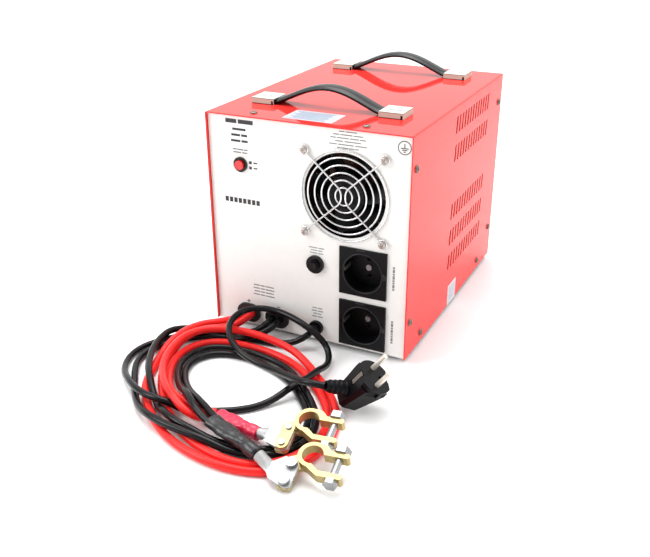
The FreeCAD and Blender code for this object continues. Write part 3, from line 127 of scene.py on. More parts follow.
def add_studio():
    """Pale floor, even surroundings and the soft lights."""
    bpy.context.scene.view_settings.view_transform = "Standard"
    add_world()
    mesh = bpy.data.meshes.new("floor")
    corners = [(x * FLOOR_REACH, y * FLOOR_REACH, 0) for x, y in ((-1, -1), (1, -1), (1, 1), (-1, 1))]
    mesh.from_pydata(corners, [], [(0, 1, 2, 3)])
    floor = add_object("floor", mesh)
    mesh.materials.append(surface("floor_paper", (0.93, 0.93, 0.93), 0.85, tone=0.01, grain=40, depth=0.0))
    for name in SOFTBOXES:
        add_softbox(name)


# ---------------------------------------------------------------- materials

def node(tree, kind, **values):
    """A new shader node, with the values of its inputs."""
    made = tree.nodes.new(kind)
    for name, value in values.items():
        made.inputs[name.replace("_", " ")].default_value = value
    return made


def surface(name, colour, roughness, metallic=0.0, tone=0.05, grain=600, depth=0.08, spread=0.06,
            coat=0.0, gloss=0.12, specular=0.5, stretch=(1, 1, 1), painted_light_and_shade=False):
    """Procedural material: base colour, roughness and fine relief all vary with noise."""
    made = bpy.data.materials.new(name)
    made.use_nodes = True
    tree = made.node_tree
    shader = tree.nodes["Principled BSDF"]
    shader.inputs["Metallic"].default_value = metallic
    shader.inputs["Coat Weight"].default_value = coat
    shader.inputs["Coat Roughness"].default_value = gloss
    shader.inputs["Specular IOR Level"].default_value = specular
    place = tree.nodes.new("ShaderNodeTexCoord")
    scaled = node(tree, "ShaderNodeMapping", Scale=stretch)
    tree.links.new(place.outputs["Object"], scaled.inputs["Vector"])
    broad = node(tree, "ShaderNodeTexNoise", Scale=grain * 0.06, Detail=4.0, Roughness=0.6)
    fine = node(tree, "ShaderNodeTexNoise", Scale=grain, Detail=3.0, Roughness=0.55)
    for texture in (broad, fine):
        tree.links.new(scaled.outputs["Vector"], texture.inputs["Vector"])
    colours = tree.nodes.new("ShaderNodeValToRGB")
    for stop, position, share in zip(colours.color_ramp.elements, (0.3, 0.7), (1 - tone, 1 + tone)):
        stop.position = position
        stop.color = tuple(min(1.0, part * share) for part in colour) + (1,)
    tree.links.new(broad.outputs["Fac"], colours.inputs["Fac"])
    tree.links.new(colours.outputs["Color"], shader.inputs["Base Color"])
    if painted_light_and_shade:
        paint_cover_light_and_shade(tree, place, colours, shader)
    smooth_end = max(0.02, roughness - spread)
    rough = node(tree, "ShaderNodeMapRange", To_Min=smooth_end, To_Max=roughness + spread)
    tree.links.new(fine.outputs["Fac"], rough.inputs["Value"])
    tree.links.new(rough.outputs["Result"], shader.inputs["Roughness"])
    if depth > 0:
        relief = node(tree, "ShaderNodeBump", Strength=depth, Distance=0.0004)
        tree.links.new(fine.outputs["Fac"], relief.inputs["Height"])
        tree.links.new(relief.outputs["Normal"], shader.inputs["Normal"])
    return made


def within(tree, socket, start, end):
    """1 where a coordinate lies between two values, 0 elsewhere."""
    test = tree.nodes.new("ShaderNodeMath")
    test.operation = "COMPARE"
    test.inputs[1].default_value = (start + end) / 2
    test.inputs[2].default_value = (end - start) / 2
    tree.links.new(socket, test.inputs[0])
    return test.outputs["Value"]


def both(tree, one, two):
    """1 where two masks are 1."""
    product = tree.nodes.new("ShaderNodeMath")
    product.operation = "MULTIPLY"
    tree.links.new(one, product.inputs[0])
    tree.links.new(two, product.inputs[1])
    return product.outputs["Value"]


# Where the painted shade inside the cover and the painted light on its louvre fins start and end, as depths
# from its outside.
EDGE_DEEP = 4.5
ROOF_DEEP = 0.9
WALL_DEEP = 1.1
FINS_DEEP = 6.8
SKIN_DEEP = 0.1
# Colours of the painted light on the shaded louvre fins and of the painted shade on the cover's inside faces.
FIN_PAINTED_LIGHT = (0.95, 0.13, 0.11, 1)
INSIDE_PAINTED_SHADE = (0.02, 0.02, 0.02, 1)


def paint_cover_light_and_shade(tree, place, colours, shader):
    """Cover: painted light on the louvre fins, which sit in shade, and painted shade on its inside faces
    behind the panel.
    """
    parts = tree.nodes.new("ShaderNodeSeparateXYZ")
    tree.links.new(place.outputs["Object"], parts.inputs["Vector"])
    low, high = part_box("top_cover")
    fins_in = high.x - FINS_DEEP * MM
    behind = within(tree, parts.outputs["Y"], low.y + EDGE_DEEP * MM, high.y - EDGE_DEEP * MM)
    under_roof = within(tree, parts.outputs["Z"], low.z - MM, high.z - ROOF_DEEP * MM)
    deep_in = within(tree, parts.outputs["X"], low.x + WALL_DEEP * MM, fins_in)
    fins = both(tree, within(tree, parts.outputs["X"], fins_in, high.x - SKIN_DEEP * MM), behind)
    dark = both(tree, both(tree, behind, under_roof), deep_in)
    last = colours.outputs["Color"]
    for mask, tint in ((both(tree, fins, under_roof), FIN_PAINTED_LIGHT), (dark, INSIDE_PAINTED_SHADE)):
        blend = tree.nodes.new("ShaderNodeMix")
        blend.data_type = "RGBA"
        blend.inputs[7].default_value = tint
        tree.links.new(mask, blend.inputs[0])
        tree.links.new(last, blend.inputs[6])
        last = blend.outputs[2]
    tree.links.new(last, shader.inputs["Base Color"])


def make_materials():
    """One material for each kind of surface."""
    return {
        # The cover's paint also carries painted light on its louvre fins and painted shade on its inside
        # faces.
        "red": surface("red_powder_coat", (0.80, 0.035, 0.030), 0.34, tone=0.03, grain=1500, depth=0.02,
                       coat=0.65, gloss=0.035, specular=0.0, painted_light_and_shade=True),
        "white": surface("white_powder_coat", (0.86, 0.853, 0.825), 0.40, tone=0.015, grain=1800, depth=0.03),
        "zinc": surface("zinc_sheet", (0.42, 0.43, 0.44), 0.4, 1.0, grain=300, stretch=(1, 8, 1)),
        "pin": surface("plated_pin", (0.78, 0.72, 0.64), 0.30, 0.55, tone=0.04, grain=500, depth=0.0),
        "bright": surface("bright_zinc", (0.30, 0.305, 0.31), 0.28, 0.75, tone=0.12, grain=700, depth=0.05),
        # Dark metal: painted shade on the contacts deep in the socket wells.
        "contact": surface("socket_contact", (0.05, 0.04, 0.03), 0.45, 0.6, tone=0.1, grain=700, depth=0.0),
        "screw": surface("passivated_screw", (0.17, 0.15, 0.13), 0.30, 1.0, tone=0.15, grain=900, depth=0.05),
        "panel_screw": surface("nickel_screw", (0.50, 0.45, 0.41), 0.28, 0.7, tone=0.08, grain=900,
                               depth=0.0),
        "nickel": surface("nickel_sheet", (0.52, 0.58, 0.50), 0.45, tone=0.03, grain=700, depth=0.0,
                          specular=0.2),
        "wire": surface("guard_wire", (0.72, 0.725, 0.73), 0.26, 0.9, tone=0.05, grain=900, depth=0.0),
        "rubber": surface("black_rubber", (0.010, 0.010, 0.011), 0.50, grain=1500, depth=0.15, specular=0.4),
        "strap": surface("strap_vinyl", (0.003, 0.003, 0.004), 0.27, grain=900, depth=0.02, spread=0.02,
                         specular=0.28),
        "plastic": surface("black_moulding", (0.003, 0.003, 0.004), 0.36, grain=2200, depth=0.04,
                           specular=0.16),
        "gloss": surface("black_gloss", (0.004, 0.004, 0.005), 0.26, grain=1200, depth=0.0, spread=0.02,
                         specular=0.3),
        # A little lighter than the black moulding around it: painted highlight on the socket rims, rib and
        # catches.
        "relief": surface("relief_painted_highlight", (0.014, 0.0145, 0.015), 0.34, grain=1800, depth=0.0,
                          specular=0.3),
        # Dark metal: painted shade on the earth clips, which sit partly in the recesses of the plug and
        # sockets.
        "clip": surface("earth_clip", (0.16, 0.14, 0.12), 0.35, 0.6, tone=0.1, grain=600, depth=0.0),
        "button": surface("red_button", (0.66, 0.010, 0.010), 0.25, grain=900, depth=0.02, coat=0.4),
        "red_cable": surface("red_sheath", (0.84, 0.018, 0.016), 0.30, tone=0.02, grain=120, depth=0.0,
                             spread=0.01, specular=0.24),
        "black_cable": surface("black_sheath", (0.004, 0.004, 0.005), 0.24, tone=0.05, grain=120, depth=0.0,
                               spread=0.01, specular=0.22),
        "shrink_red": surface("red_shrink", (0.62, 0.016, 0.06), 0.32, tone=0.10, grain=350, depth=0.35),
        "shrink_black": surface("black_shrink", (0.009, 0.009, 0.011), 0.32, tone=0.1, grain=400, depth=0.3),
        "tinned": surface("tinned_lug", (0.37, 0.37, 0.37), 0.42, 0.5, tone=0.25, grain=420, depth=0.5),
        "brass": surface("brass_casting", (0.47, 0.365, 0.155), 0.34, 0.6, tone=0.16, grain=350, depth=0.35),
        "winding": surface("taped_winding", (0.45, 0.34, 0.09), 0.45, tone=0.15, grain=250, depth=0.3),
        "board": surface("solder_mask", (0.02, 0.16, 0.06), 0.35, tone=0.15, grain=400),
        "aluminium": surface("extruded_aluminium", (0.50, 0.51, 0.52), 0.35, 1.0, grain=400,
                             stretch=(1, 1, 6)),
        "window": surface("smoked_window", (0.02, 0.025, 0.025), 0.12, tone=0.1, grain=200, depth=0.0,
                          coat=0.5),
        "lens": surface("green_lens", (0.05, 0.45, 0.12), 0.15, tone=0.1, grain=500, depth=0.0, coat=0.5),
        "ink": surface("grey_ink", (0.05, 0.05, 0.055), 0.5, tone=0.15, grain=2500, depth=0.0, specular=0.2),
        "fine_ink": surface("fine_grey_ink", (0.22, 0.22, 0.22), 0.5, tone=0.15, grain=2500, depth=0.0,
                            specular=0.2),
        "paper": surface("sticker_paper", (0.62, 0.66, 0.72), 0.45, tone=0.02, grain=900, depth=0.0,
                         specular=0.2),
        "roof_paper": surface("roof_paper", (0.46, 0.475, 0.50), 0.5, tone=0.02, grain=900, depth=0.0,
                              specular=0.1),
        "label": surface("white_label", (0.88, 0.875, 0.85), 0.45, tone=0.01, grain=900, depth=0.0,
                         specular=0.3),
        "blue_ink": surface("blue_ink", (0.20, 0.26, 0.36), 0.45, tone=0.05, grain=1200, depth=0.0,
                            specular=0.1),
        "pale_ink": surface("pale_ink", (0.30, 0.32, 0.35), 0.5, tone=0.1, grain=2500, depth=0.0,
                            specular=0.2),
        # Painted shade, for the punched crescents and the folded seams of the strap caps.
        "shadow": surface("painted_shade_recess", (0.012, 0.011, 0.010), 0.6, tone=0.1, grain=900, depth=0.0,
                          specular=0.1),
    }


# Which CAD nodes get which material.
FINISH = {
    "red": ["top_cover"],
    "white": ["front_panel", "back_panel"],
    "zinc": ["base_plate", "transformer_dish"],
    "bright": ["foot_screws", "fan_nuts", "socket_screws", "clamp_bolts", "clamp_nuts",
               "positive_lug_screws", "negative_lug_screws", "transformer_bolt_and_nut"],
    "pin": ["plug_pins"],
    "clip": ["plug_earth_clips", "socket_earth_clips"],
    "nickel": ["handle_end_caps"],
    "wire": ["fan_guard"],
    "rubber": ["rubber_feet", "positive_grommet", "negative_grommet", "transformer_pads"],
    "plastic": ["fan_frame", "fan_rotor", "breaker_body", "upper_socket", "lower_socket",
                "mains_strain_relief", "plug_body", "board_standoffs", "capacitors", "power_rocker_frame"],
    "gloss": ["charge_button_bezel", "breaker_nut", "breaker_button", "power_rocker"],
    "button": ["charge_button"],
    "tinned": ["positive_lug", "negative_lug"],
    "brass": ["positive_clamp", "negative_clamp", "positive_clamp_bar"],
    "contact": ["socket_contacts"],
    "winding": ["transformer_toroid"],
    "board": ["power_board"],
    "aluminium": ["heat_sinks"],
    "window": ["display_window"],
    "lens": ["status_lights"],
}

USUAL_EDGE = 0.35
# Edge rounding of the finishes that are rounder or sharper than usual.
EDGE_WIDTH = {"winding": 2.0, "brass": 1.0, "tinned": 0.5, "pin": 0.3}


def paint_nodes(materials):
    """Give every CAD node its finish, with slightly rounded edges that catch the light."""
    for word, names in FINISH.items():
        for name in names:
            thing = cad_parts[name]
            for slot in thing.material_slots:
                slot.material = materials[word]
            soften(thing, EDGE_WIDTH.get(word, USUAL_EDGE) * MM)


def soften(thing, width):
    """Round the sharp edges and shade the rest smooth."""
    bevel = thing.modifiers.new("edges", "BEVEL")
    bevel.width = width
    bevel.segments = 2
    bevel.limit_method = "ANGLE"
    bevel.angle_limit = math.radians(40)
    for face in thing.data.polygons:
        face.use_smooth = True
    thing.modifiers.new("shading", "WEIGHTED_NORMAL").keep_sharp = True


# ---------------------------------------------------------------- cables

# Control points in millimetres, from the outlet to the plug or sleeve.
ROUTES = {
    "red_cable_1": [
        (-74, -146, 19), (-74, -158, 19), (-80.5, -166.5, 16.2), (-95, -171.5, 12.6),
        (-107.5, -181.5, 12.4), (-116, -199, 12.2), (-119.5, -223, 9.5), (-115.5, -249, 5),
        (-107.5, -272, 3.9), (-100, -292.5, 3.9), (-86, -311, 3.9), (-69, -328.5, 3.9),
        (-47.5, -345.5, 3.9), (-23, -358.5, 3.9), (6, -367, 3.9), (37, -369.5, 3.9),
        (66, -363, 3.9), (87, -346, 3.9), (97.5, -321, 3.9), (98, -295, 3.9), (92.5, -271, 3.9),
        (80.2, -250, 3.9), (64.5, -231.5, 3.9), (45.5, -214, 3.8), (28, -199, 5.2), (6, -189, 11.6),
        (-20, -184, 14.6), (-47, -183.5, 16.8), (-75, -187, 17), (-96.5, -199, 16.8),
        (-105, -217, 16.8), (-104, -240, 16.6), (-97, -264, 16.6), (-84, -286, 17),
        (-67, -305, 18.5), (-50.5, -317, 18.7), (-34, -325, 13), (-18, -325, 8.5), (-9, -320.2, 8),
    ],
    "red_cable_2": [
        (-65, -146, 19), (-65, -159, 19), (-72, -172, 14.4), (-85, -180, 12.2), (-99, -188.5, 12),
        (-107.5, -203, 11.5), (-110.5, -223, 8.5), (-106.8, -246, 4.4), (-98.5, -267, 3.9),
        (-87, -285, 3.9), (-73.5, -302, 3.9), (-58.5, -317, 3.9), (-43.5, -330, 3.9),
        (-26.5, -342, 3.9), (-6, -352.5, 3.9), (18, -359, 3.9), (42, -360.7, 3.9),
        (62, -354.4, 3.9), (78, -339, 3.9), (87.5, -317, 3.9), (89.5, -293, 3.9), (83.5, -271, 3.9),
        (71, -251.5, 3.9), (55, -234, 3.9), (38.5, -219, 3.9), (20, -205, 3.9), (-2, -195, 3.9),
        (-27, -190, 3.9), (-53, -189, 3.9), (-77, -193, 3.9), (-94, -205, 3.9), (-101.5, -226, 4.1),
        (-98.3, -249, 5.6), (-87.5, -271, 7), (-73.5, -291, 9), (-57, -307, 11.6), (-40, -313, 13),
        (-24, -314.5, 9), (-8, -311, 8),
    ],
    "black_cable_1": [
        (-40, -146, 19), (-40, -157.5, 19), (-46, -165, 12.3), (-59, -168, 5.5), (-77, -167, 3.6),
        (-96, -169.5, 3.6), (-113, -178, 4), (-125.5, -189.5, 6.8), (-132.5, -204, 10.4),
        (-132, -222, 11), (-127, -240, 11.3), (-119.5, -257, 11.5), (-110, -273, 11.8),
        (-99, -287, 11.5), (-85.2, -301.6, 8), (-74.5, -311.5, 4.6), (-63, -322.5, 5.8),
        (-50, -332.5, 11.4), (-34, -340.5, 12), (-15, -343.5, 10.5), (6, -343.5, 4.8),
        (30, -342, 3.5), (51, -336.5, 3.5), (65.5, -324.5, 3.5), (72.5, -308, 3.5),
        (71.5, -290, 3.5), (64, -273, 3.5), (52.3, -258.6, 3.5), (39, -244.6, 3.5),
        (23.5, -230.5, 3.5), (4, -220, 3.5), (-18, -213, 3.5), (-41, -209, 3.5), (-62, -212, 3.5),
        (-76.5, -222, 3.5), (-83, -238, 3.5), (-79.5, -255, 3.8), (-70.5, -269.5, 5),
        (-59, -283.5, 8), (-45.5, -296, 11), (-31, -307, 15.4), (-16, -317, 16.9),
        (1, -326.5, 15.2),
    ],
    "black_cable_2": [
        (-31, -146, 19), (-31, -158.5, 19), (-35, -167.5, 15), (-43.5, -176, 11.1),
        (-56.5, -182.3, 6.5), (-73, -183.8, 3.6), (-91, -186, 3.5), (-106, -194, 3.5),
        (-117, -206, 3.5), (-126, -219, 3.5), (-133.5, -234, 3.5), (-135.5, -250, 3.5),
        (-130.5, -267, 3.5), (-119.5, -283.5, 3.5), (-107.5, -299.5, 3.5), (-94, -316, 4),
        (-79, -331, 6.5), (-60, -343, 11.6), (-39, -349, 12), (-17, -351, 11.8), (4, -352, 11),
        (27, -350.5, 5), (49, -346, 3.5), (67, -334, 3.5), (77.5, -318, 3.5), (80.5, -300, 3.5),
        (76.5, -281, 3.5), (66.5, -264, 3.5), (52.5, -247.5, 3.5), (37, -232, 3.5),
        (20.5, -217.5, 3.5), (0, -206, 3.5), (-22, -200.5, 3.5), (-46, -198, 3.5), (-69, -201, 3.5),
        (-85, -210.5, 3.5), (-92, -227, 3.5), (-90.5, -247, 3.8), (-82.5, -264, 5.5),
        (-70.5, -280.5, 8.5), (-57, -295.5, 12.8), (-41.5, -308.5, 19.6), (-26, -321.5, 19.9),
        (-12, -330, 16.8), (-1.5, -334, 15.2),
    ],
    "mains_cord": [
        (10.5, -152, 19), (10.5, -160.5, 19), (5, -167.5, 14.5), (-6, -170.5, 8), (-20, -171.5, 4),
        (-37, -173.4, 3.4), (-56, -175.4, 3.4), (-77, -176.2, 3.4), (-96, -178, 3.4),
        (-112, -187, 3.4), (-124, -201, 3.4), (-136, -217, 3.4), (-145, -234, 3.4),
        (-146.5, -253, 3.4), (-140, -272, 3.8), (-127.5, -289, 6.5), (-111.5, -302.5, 10.2),
        (-96, -313, 12), (-80, -319.5, 13.1), (-64, -321.5, 13.7), (-52, -319, 11.2),
        (-41.5, -316, 5.4), (-30, -311, 3.5), (-15, -303.5, 3.4), (2, -294, 3.4), (16, -281, 3.4),
        (26, -265, 5.2), (34, -248, 10.8), (41.5, -231, 12), (44.5, -213, 12.3), (44.5, -196, 6.7),
        (41, -181, 5), (35, -170.5, 9.5), (27, -166, 16), (17, -165, 22.5), (5, -163, 27.5),
        (-10, -159, 30.5), (-28, -154.5, 31.5), (-46, -155, 32), (-60, -161, 31.5), (-68, -175, 30),
        (-67, -193, 27), (-57, -209.5, 23.5), (-41, -222, 20), (-22, -230, 17), (-4, -235, 17),
        (13, -241, 19.5), (30, -249.5, 23.5), (47, -259, 28), (60.5, -264.3, 31.4),
        (76, -262.3, 31.6),
    ],
}

# Diameter, length, far end, finish and the pieces on each lead's end.
CORDS = {
    "red_cable_1": (7.6, 878, "connector", "red_cable",
                    ["positive_lug", "positive_clamp", "positive_clamp_bar", "positive_lug_screws"]),
    "red_cable_2": (7.6, 811, "connector", "red_cable", ["positive_shrunk_sleeve"]),
    "black_cable_1": (6.8, 772, "connector", "black_cable",
                      ["negative_lug", "negative_clamp", "negative_lug_screws", "clamp_bolts", "clamp_nuts"]),
    "black_cable_2": (6.8, 841, "connector", "black_cable", ["negative_shrunk_sleeve"]),
    "mains_cord": (6.6, 847, "plug", "black_cable",
                   ["plug_body", "plug_pins", "plug_earth_clips", "plug_relief_ribs"]),
}


def add_cable(name, materials):
    """One lead: a smooth spline along its control points, with a round section."""
    thick, length, far_end, finish, on_it = CORDS[name]
    curve = bpy.data.curves.new(name + "_line", "CURVE")
    curve.dimensions = "3D"
    curve.resolution_u = 8
    curve.bevel_depth = thick * MM / 2
    curve.bevel_resolution = 6
    spline = curve.splines.new("NURBS")
    spline.points.add(len(ROUTES[name]) - 1)
    for point, place in zip(spline.points, ROUTES[name]):
        point.co = (place[0] * MM, place[1] * MM, place[2] * MM, 1)
    spline.order_u = 3
    spline.use_endpoint_u = True
    curve.materials.append(materials[finish])
    obj = add_object(name + "_lead", curve)
    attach(obj, CASE)
    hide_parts(name)


# ---------------------------------------------------------------- mesh helpers

def add_piece(name, corners, faces, finish, materials, stands_for=()):
    """A mesh piece on the case, smooth shaded, in place of the CAD nodes that it stands for."""
    mesh = bpy.data.meshes.new(name)
    mesh.from_pydata([tuple(corner) for corner in corners], [], faces)
    mesh.materials.append(materials[finish])
    shell = bmesh.new()
    shell.from_mesh(mesh)
    bmesh.ops.recalc_face_normals(shell, faces=shell.faces)
    shell.to_mesh(mesh)
    shell.free()
    for face in mesh.polygons:
        face.use_smooth = True
    obj = add_object(name, mesh)
    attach(obj, CASE)
    if stands_for:
        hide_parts(*stands_for)
    return obj


def turns(count):
    """Evenly spaced angles of a full turn."""
    return [2 * math.pi * step / count for step in range(count)]


def circle(middle, across, up, reach, count):
    """Points of a circle in the plane of two axes."""
    return [middle + (across * math.cos(turn) + up * math.sin(turn)) * reach for turn in turns(count)]


def skin(rings, closed_ends=True):
    """Corners and faces of a tube through rings of equal size."""
    corners = [corner for ring in rings for corner in ring]
    steps = len(rings[0])
    faces = []
    for row in range(len(rings) - 1):
        here, there = row * steps, (row + 1) * steps
        for step in range(steps):
            after = (step + 1) % steps
            faces.append([here + step, here + after, there + after, there + step])
    if closed_ends:
        faces.append(list(range(steps)))
        faces.append([(len(rings) - 1) * steps + step for step in range(steps)])
    return corners, faces


def joined(skins):
    """Corners and faces of several skins as one."""
    corners, faces = [], []
    for new_corners, new_faces in skins:
        faces += [[index + len(corners) for index in face] for face in new_faces]
        corners += new_corners
    return corners, faces


def bead(middle, across, up, reach, half_thick, half_wide, rows, steps):
    """A round bead along a circle, as a closed tube of oval section."""
    way = across.cross(up)
    rings = []
    for roll in turns(rows):
        centre = middle + way * (half_wide * math.sin(roll))
        rings.append(circle(centre, across, up, reach + half_thick * math.cos(roll), steps))
    rings.append(rings[0])
    return skin(rings, False)


# ---------------------------------------------------------------- screws

# Places on the walls (y, z) and on the roof (x, y), and the middle of the fan.
SIDE_SCREWS = [(-139.5, 43.5), (-139.5, 200.5), (138, 45), (138, 202), (-106, 16), (96, 16)]
TOP_SCREWS = [(-61.4, -136), (58, -136), (-61.4, 137), (58, 137)]
FAN_MIDDLE = (40.7, 166.4)
FAN_REACH = 41.25

HEAD_RADIUS = 3.7
HEAD_ROWS = 18
HEAD_STEPS = 64
# Cross recess, as shares of the head's radius and height.
RECESS_WIDE = 0.13
RECESS_LONG = 0.58
RECESS_DEEP = 0.75
RECESS_FADE = 0.75


def screw_rings(centre, normal, height, shank, turn):
    """Pan head with a cross recess, and its shank, as rings from the middle of the head outwards."""
    place = Matrix.Translation(centre) @ normal.to_track_quat("Z", "Y").to_matrix().to_4x4()
    radius = HEAD_RADIUS * MM
    rings = []
    for row in range(1, HEAD_ROWS + 1):
        reach = row / HEAD_ROWS
        dome = height * (0.25 + 0.75 * math.sqrt(max(0.0, 1 - reach ** 2.6)))
        ring = []
        for angle in turns(HEAD_STEPS):
            x, y = reach * math.cos(angle + turn), reach * math.sin(angle + turn)
            level = dome
            narrow, wide = sorted((abs(x), abs(y)))
            if narrow < RECESS_WIDE and wide < RECESS_LONG:
                level -= height * RECESS_DEEP * (1 - wide / RECESS_FADE)
            ring.append(place @ Vector((radius * reach * math.cos(angle),
                                        radius * reach * math.sin(angle), level)))
        rings.append(ring)
    for reach, level in ((radius, 0.0), (radius * 0.45, 0.0), (radius * 0.45, -shank)):
        flat = circle(UP * level, RIGHT, BACK, reach, HEAD_STEPS)
        rings.append([place @ corner for corner in flat])
    return rings


def add_screws(name, spots, height, shank, finish, materials, stands_for):
    """Screws in one mesh, at each (place, normal), each turned a little further than the last."""
    skins = []
    for number, (centre, normal) in enumerate(spots):
        skins.append(skin(screw_rings(centre, normal, height * MM, shank * MM, 0.5 + 1.1 * number)))
    corners, faces = joined(skins)
    obj = add_piece(name, corners, faces, finish, materials, stands_for)
    obj.modifiers.new("edges", "EDGE_SPLIT").split_angle = math.radians(35)


def add_all_screws(materials):
    """The cover's side and roof screws, and the fan's four screws."""
    low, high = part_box("top_cover")
    spots = []
    for wall, side in ((high.x, 1), (low.x, -1)):
        spots += [(Vector((wall, y * MM, z * MM)), Vector((side, 0, 0))) for y, z in SIDE_SCREWS]
    add_screws("side_screw_heads", spots, 2.2, 5, "screw", materials, ["side_screws"])
    spots = [(Vector((x * MM, y * MM, high.z)), UP) for x, y in TOP_SCREWS]
    add_screws("top_screw_heads", spots, 2.0, 5, "screw", materials, ["top_screws"])
    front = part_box("fan_screws")[0].y + 2.0 * MM
    spots = []
    for side in (-1, 1):
        for rise in (-1, 1):
            x, z = FAN_MIDDLE[0] + side * FAN_REACH, FAN_MIDDLE[1] + rise * FAN_REACH
            spots.append((Vector((x * MM, front, z * MM)), TO_FRONT))
    add_screws("fan_screw_heads", spots, 1.9, 26, "panel_screw", materials, ["fan_screws"])


# ---------------------------------------------------------------- straps

# Half of the arch's span, of the strap's width, of its padded middle and of the part inside its hems.
STRAP_REACH = 57.0
STRAP_HALF = 11.0
PADDED_HALF = 8.8
HEM_START = 10.6
HEM_THICK = 0.7
STRAP_THICK = 1.3
PAD_ABOVE = 1.9
PAD_BELOW = 1.1
ARCH_POWER = 1.25


def strap_ring(x, lift, slope, y):
    """Section of the strap: a padded middle between two thin sewn edges."""
    ring = []
    steps = 22
    for face, padding in ((1, PAD_ABOVE), (-1, PAD_BELOW)):
        for step in range(steps):
            across = face * (2 * STRAP_HALF * step / (steps - 1) - STRAP_HALF)
            swell = math.sqrt(max(0.0, 1 - (across / PADDED_HALF) ** 2))
            depth = HEM_THICK if abs(across) > HEM_START else STRAP_THICK + padding * swell
            out = face * depth
            ring.append(Vector((x - out * math.sin(slope), y + across, lift + out * math.cos(slope))) * MM)
    return ring


def add_strap(name, node_name, materials):
    """Padded vinyl strap: flat in its caps, with one smooth arch between them."""
    low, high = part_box(node_name)
    middle, y = (low.x + high.x) / 2 / MM, (low.y + high.y) / 2 / MM
    ends = (high.x - low.x) / 2 / MM
    level = low.z / MM + 1.7
    rise = high.z / MM - 2.2 - level
    rings = []
    steps = 90

    def arch(along):
        return level + rise * math.cos(math.pi / 2 * min(1.0, abs(along) / STRAP_REACH)) ** ARCH_POWER

    for step in range(steps + 1):
        along = -ends + 2 * ends * step / steps
        slope = math.atan((arch(along + 0.05) - arch(along - 0.05)) / 0.1)
        rings.append(strap_ring(middle + along, arch(along), slope, y))
    corners, faces = skin(rings)
    add_piece(name, corners, faces, "strap", materials, [node_name])


CAP_LONG = 25
CAP_DEEP = 27
CRESCENT_SHIFT = 4.2
CRESCENT_RADIUS = 2.4


def add_cap_marks(materials):
    """Painted shade as dark patches: two punched crescents on the roof of each strap cap, and the seams of
    its folded corners.
    """
    low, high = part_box("handle_end_caps")
    half_long, half_deep = CAP_LONG * MM / 2, CAP_DEEP * MM / 2
    crescents = []
    seams = []
    for x in (low.x + half_long, high.x - half_long):
        for y in (low.y + half_deep, high.y - half_deep):
            for shift in (-CRESCENT_SHIFT, CRESCENT_SHIFT):
                crescents += crescent(Vector((x + shift * MM, y, high.z)))
            front = y - half_deep
            side = x + half_long
            fold = high.z - 0.5 * MM
            seams.append((Vector((x, front, fold)), RIGHT * half_long, UP * 0.16 * MM))
            seams.append((Vector((x, front, low.z + 0.3 * MM)), RIGHT * half_long, UP * 0.3 * MM))
            seams.append((Vector((side, y, fold)), BACK * half_deep, UP * 0.16 * MM))
            corner = Vector((side - 1.6 * MM, front, (high.z + low.z) / 2 - MM))
            seams.append((corner, RIGHT * 1.1 * MM, UP * 1.7 * MM))
    patches("cap_crescents", crescents, "shadow", materials, 0.1)
    patches("cap_seams", seams, "shadow", materials, 0.04)


def crescent(middle):
    """Short patches along an arc that opens away from the front."""
    pieces = []
    for number in range(7):
        turn = math.pi * (0.15 + 0.7 * number / 6)
        outwards = Vector((math.cos(turn), -math.sin(turn), 0))
        along = Vector((-math.sin(turn), -math.cos(turn), 0))
        pieces.append((middle + outwards * CRESCENT_RADIUS * MM, along * 0.7 * MM, outwards * 0.5 * MM))
    return pieces


# ---------------------------------------------------------------- sleeves and plug

# Start, end, half width and half height at the cables, and finish.
LEAD_ENDS = {
    "positive": (Vector((-5, -315, 8.2)), Vector((42.8, -323.8, 9.5)), 9.6, 5.2, "shrink_red"),
    "negative": (Vector((0.3, -330.8, 15.1)), Vector((58, -353, 13.7)), 8.4, 5.0, "shrink_black"),
}
# Radius of the sleeve round the lug's barrel.
SLEEVE_RADIUS = 6.3
SLEEVE_ROWS = 60
SLEEVE_STEPS = 36


def add_sleeve(word, materials):
    """Shrunk sleeve over two cables and a lug barrel: flat at first, then round and lumpy."""
    start, end, wide, high, finish = LEAD_ENDS[word]
    along = (end - start).normalized()
    side = UP.cross(along).normalized()
    lift = along.cross(side)
    rings = []
    for row in range(SLEEVE_ROWS + 1):
        part = row / SLEEVE_ROWS
        near = min(1.0, max(0.0, (part - 0.25) / 0.5))
        near = near * near * (3 - 2 * near)
        lumps = 0.05 * math.sin(9 * part) * math.sin(23 * part + 1)
        groove = 0.07 * math.exp(-((part - 0.72) / 0.05) ** 2)
        lip = 1.03 if 0.0 < part < 0.03 or 0.97 < part < 1.0 else 1.0
        girth = (1 + lumps - groove) * lip
        across = (wide + (SLEEVE_RADIUS - wide) * near) * girth
        depth = (high + (SLEEVE_RADIUS - high) * near) * girth
        centre = start + (end - start) * part
        ring = []
        for turn in turns(SLEEVE_STEPS):
            pinch = 1 - 0.12 * (1 - near) * (1 - abs(math.cos(turn))) ** 2
            ripple = 1 + 0.018 * math.sin(5 * turn + 14 * part)
            sideways = side * across * math.cos(turn)
            upwards = lift * depth * math.sin(turn) * pinch
            ring.append((centre + (sideways + upwards) * ripple) * MM)
        rings.append(ring)
    corners, faces = skin(rings)
    add_piece(word + "_shrunk_sleeve", corners, faces, finish, materials, [word + "_sleeve"])


PLUG_FACE = Vector((113.7, -238.9, 38.0))
# Axes of the neck: up out of it, across it, and along the lead.
NECK_UP = Vector((0.4742, -0.1123, 0.8732)).normalized()
NECK_ACROSS = Vector((0.5332, -0.7526, -0.3864)).normalized()
NECK_WAY = NECK_ACROSS.cross(NECK_UP).normalized()
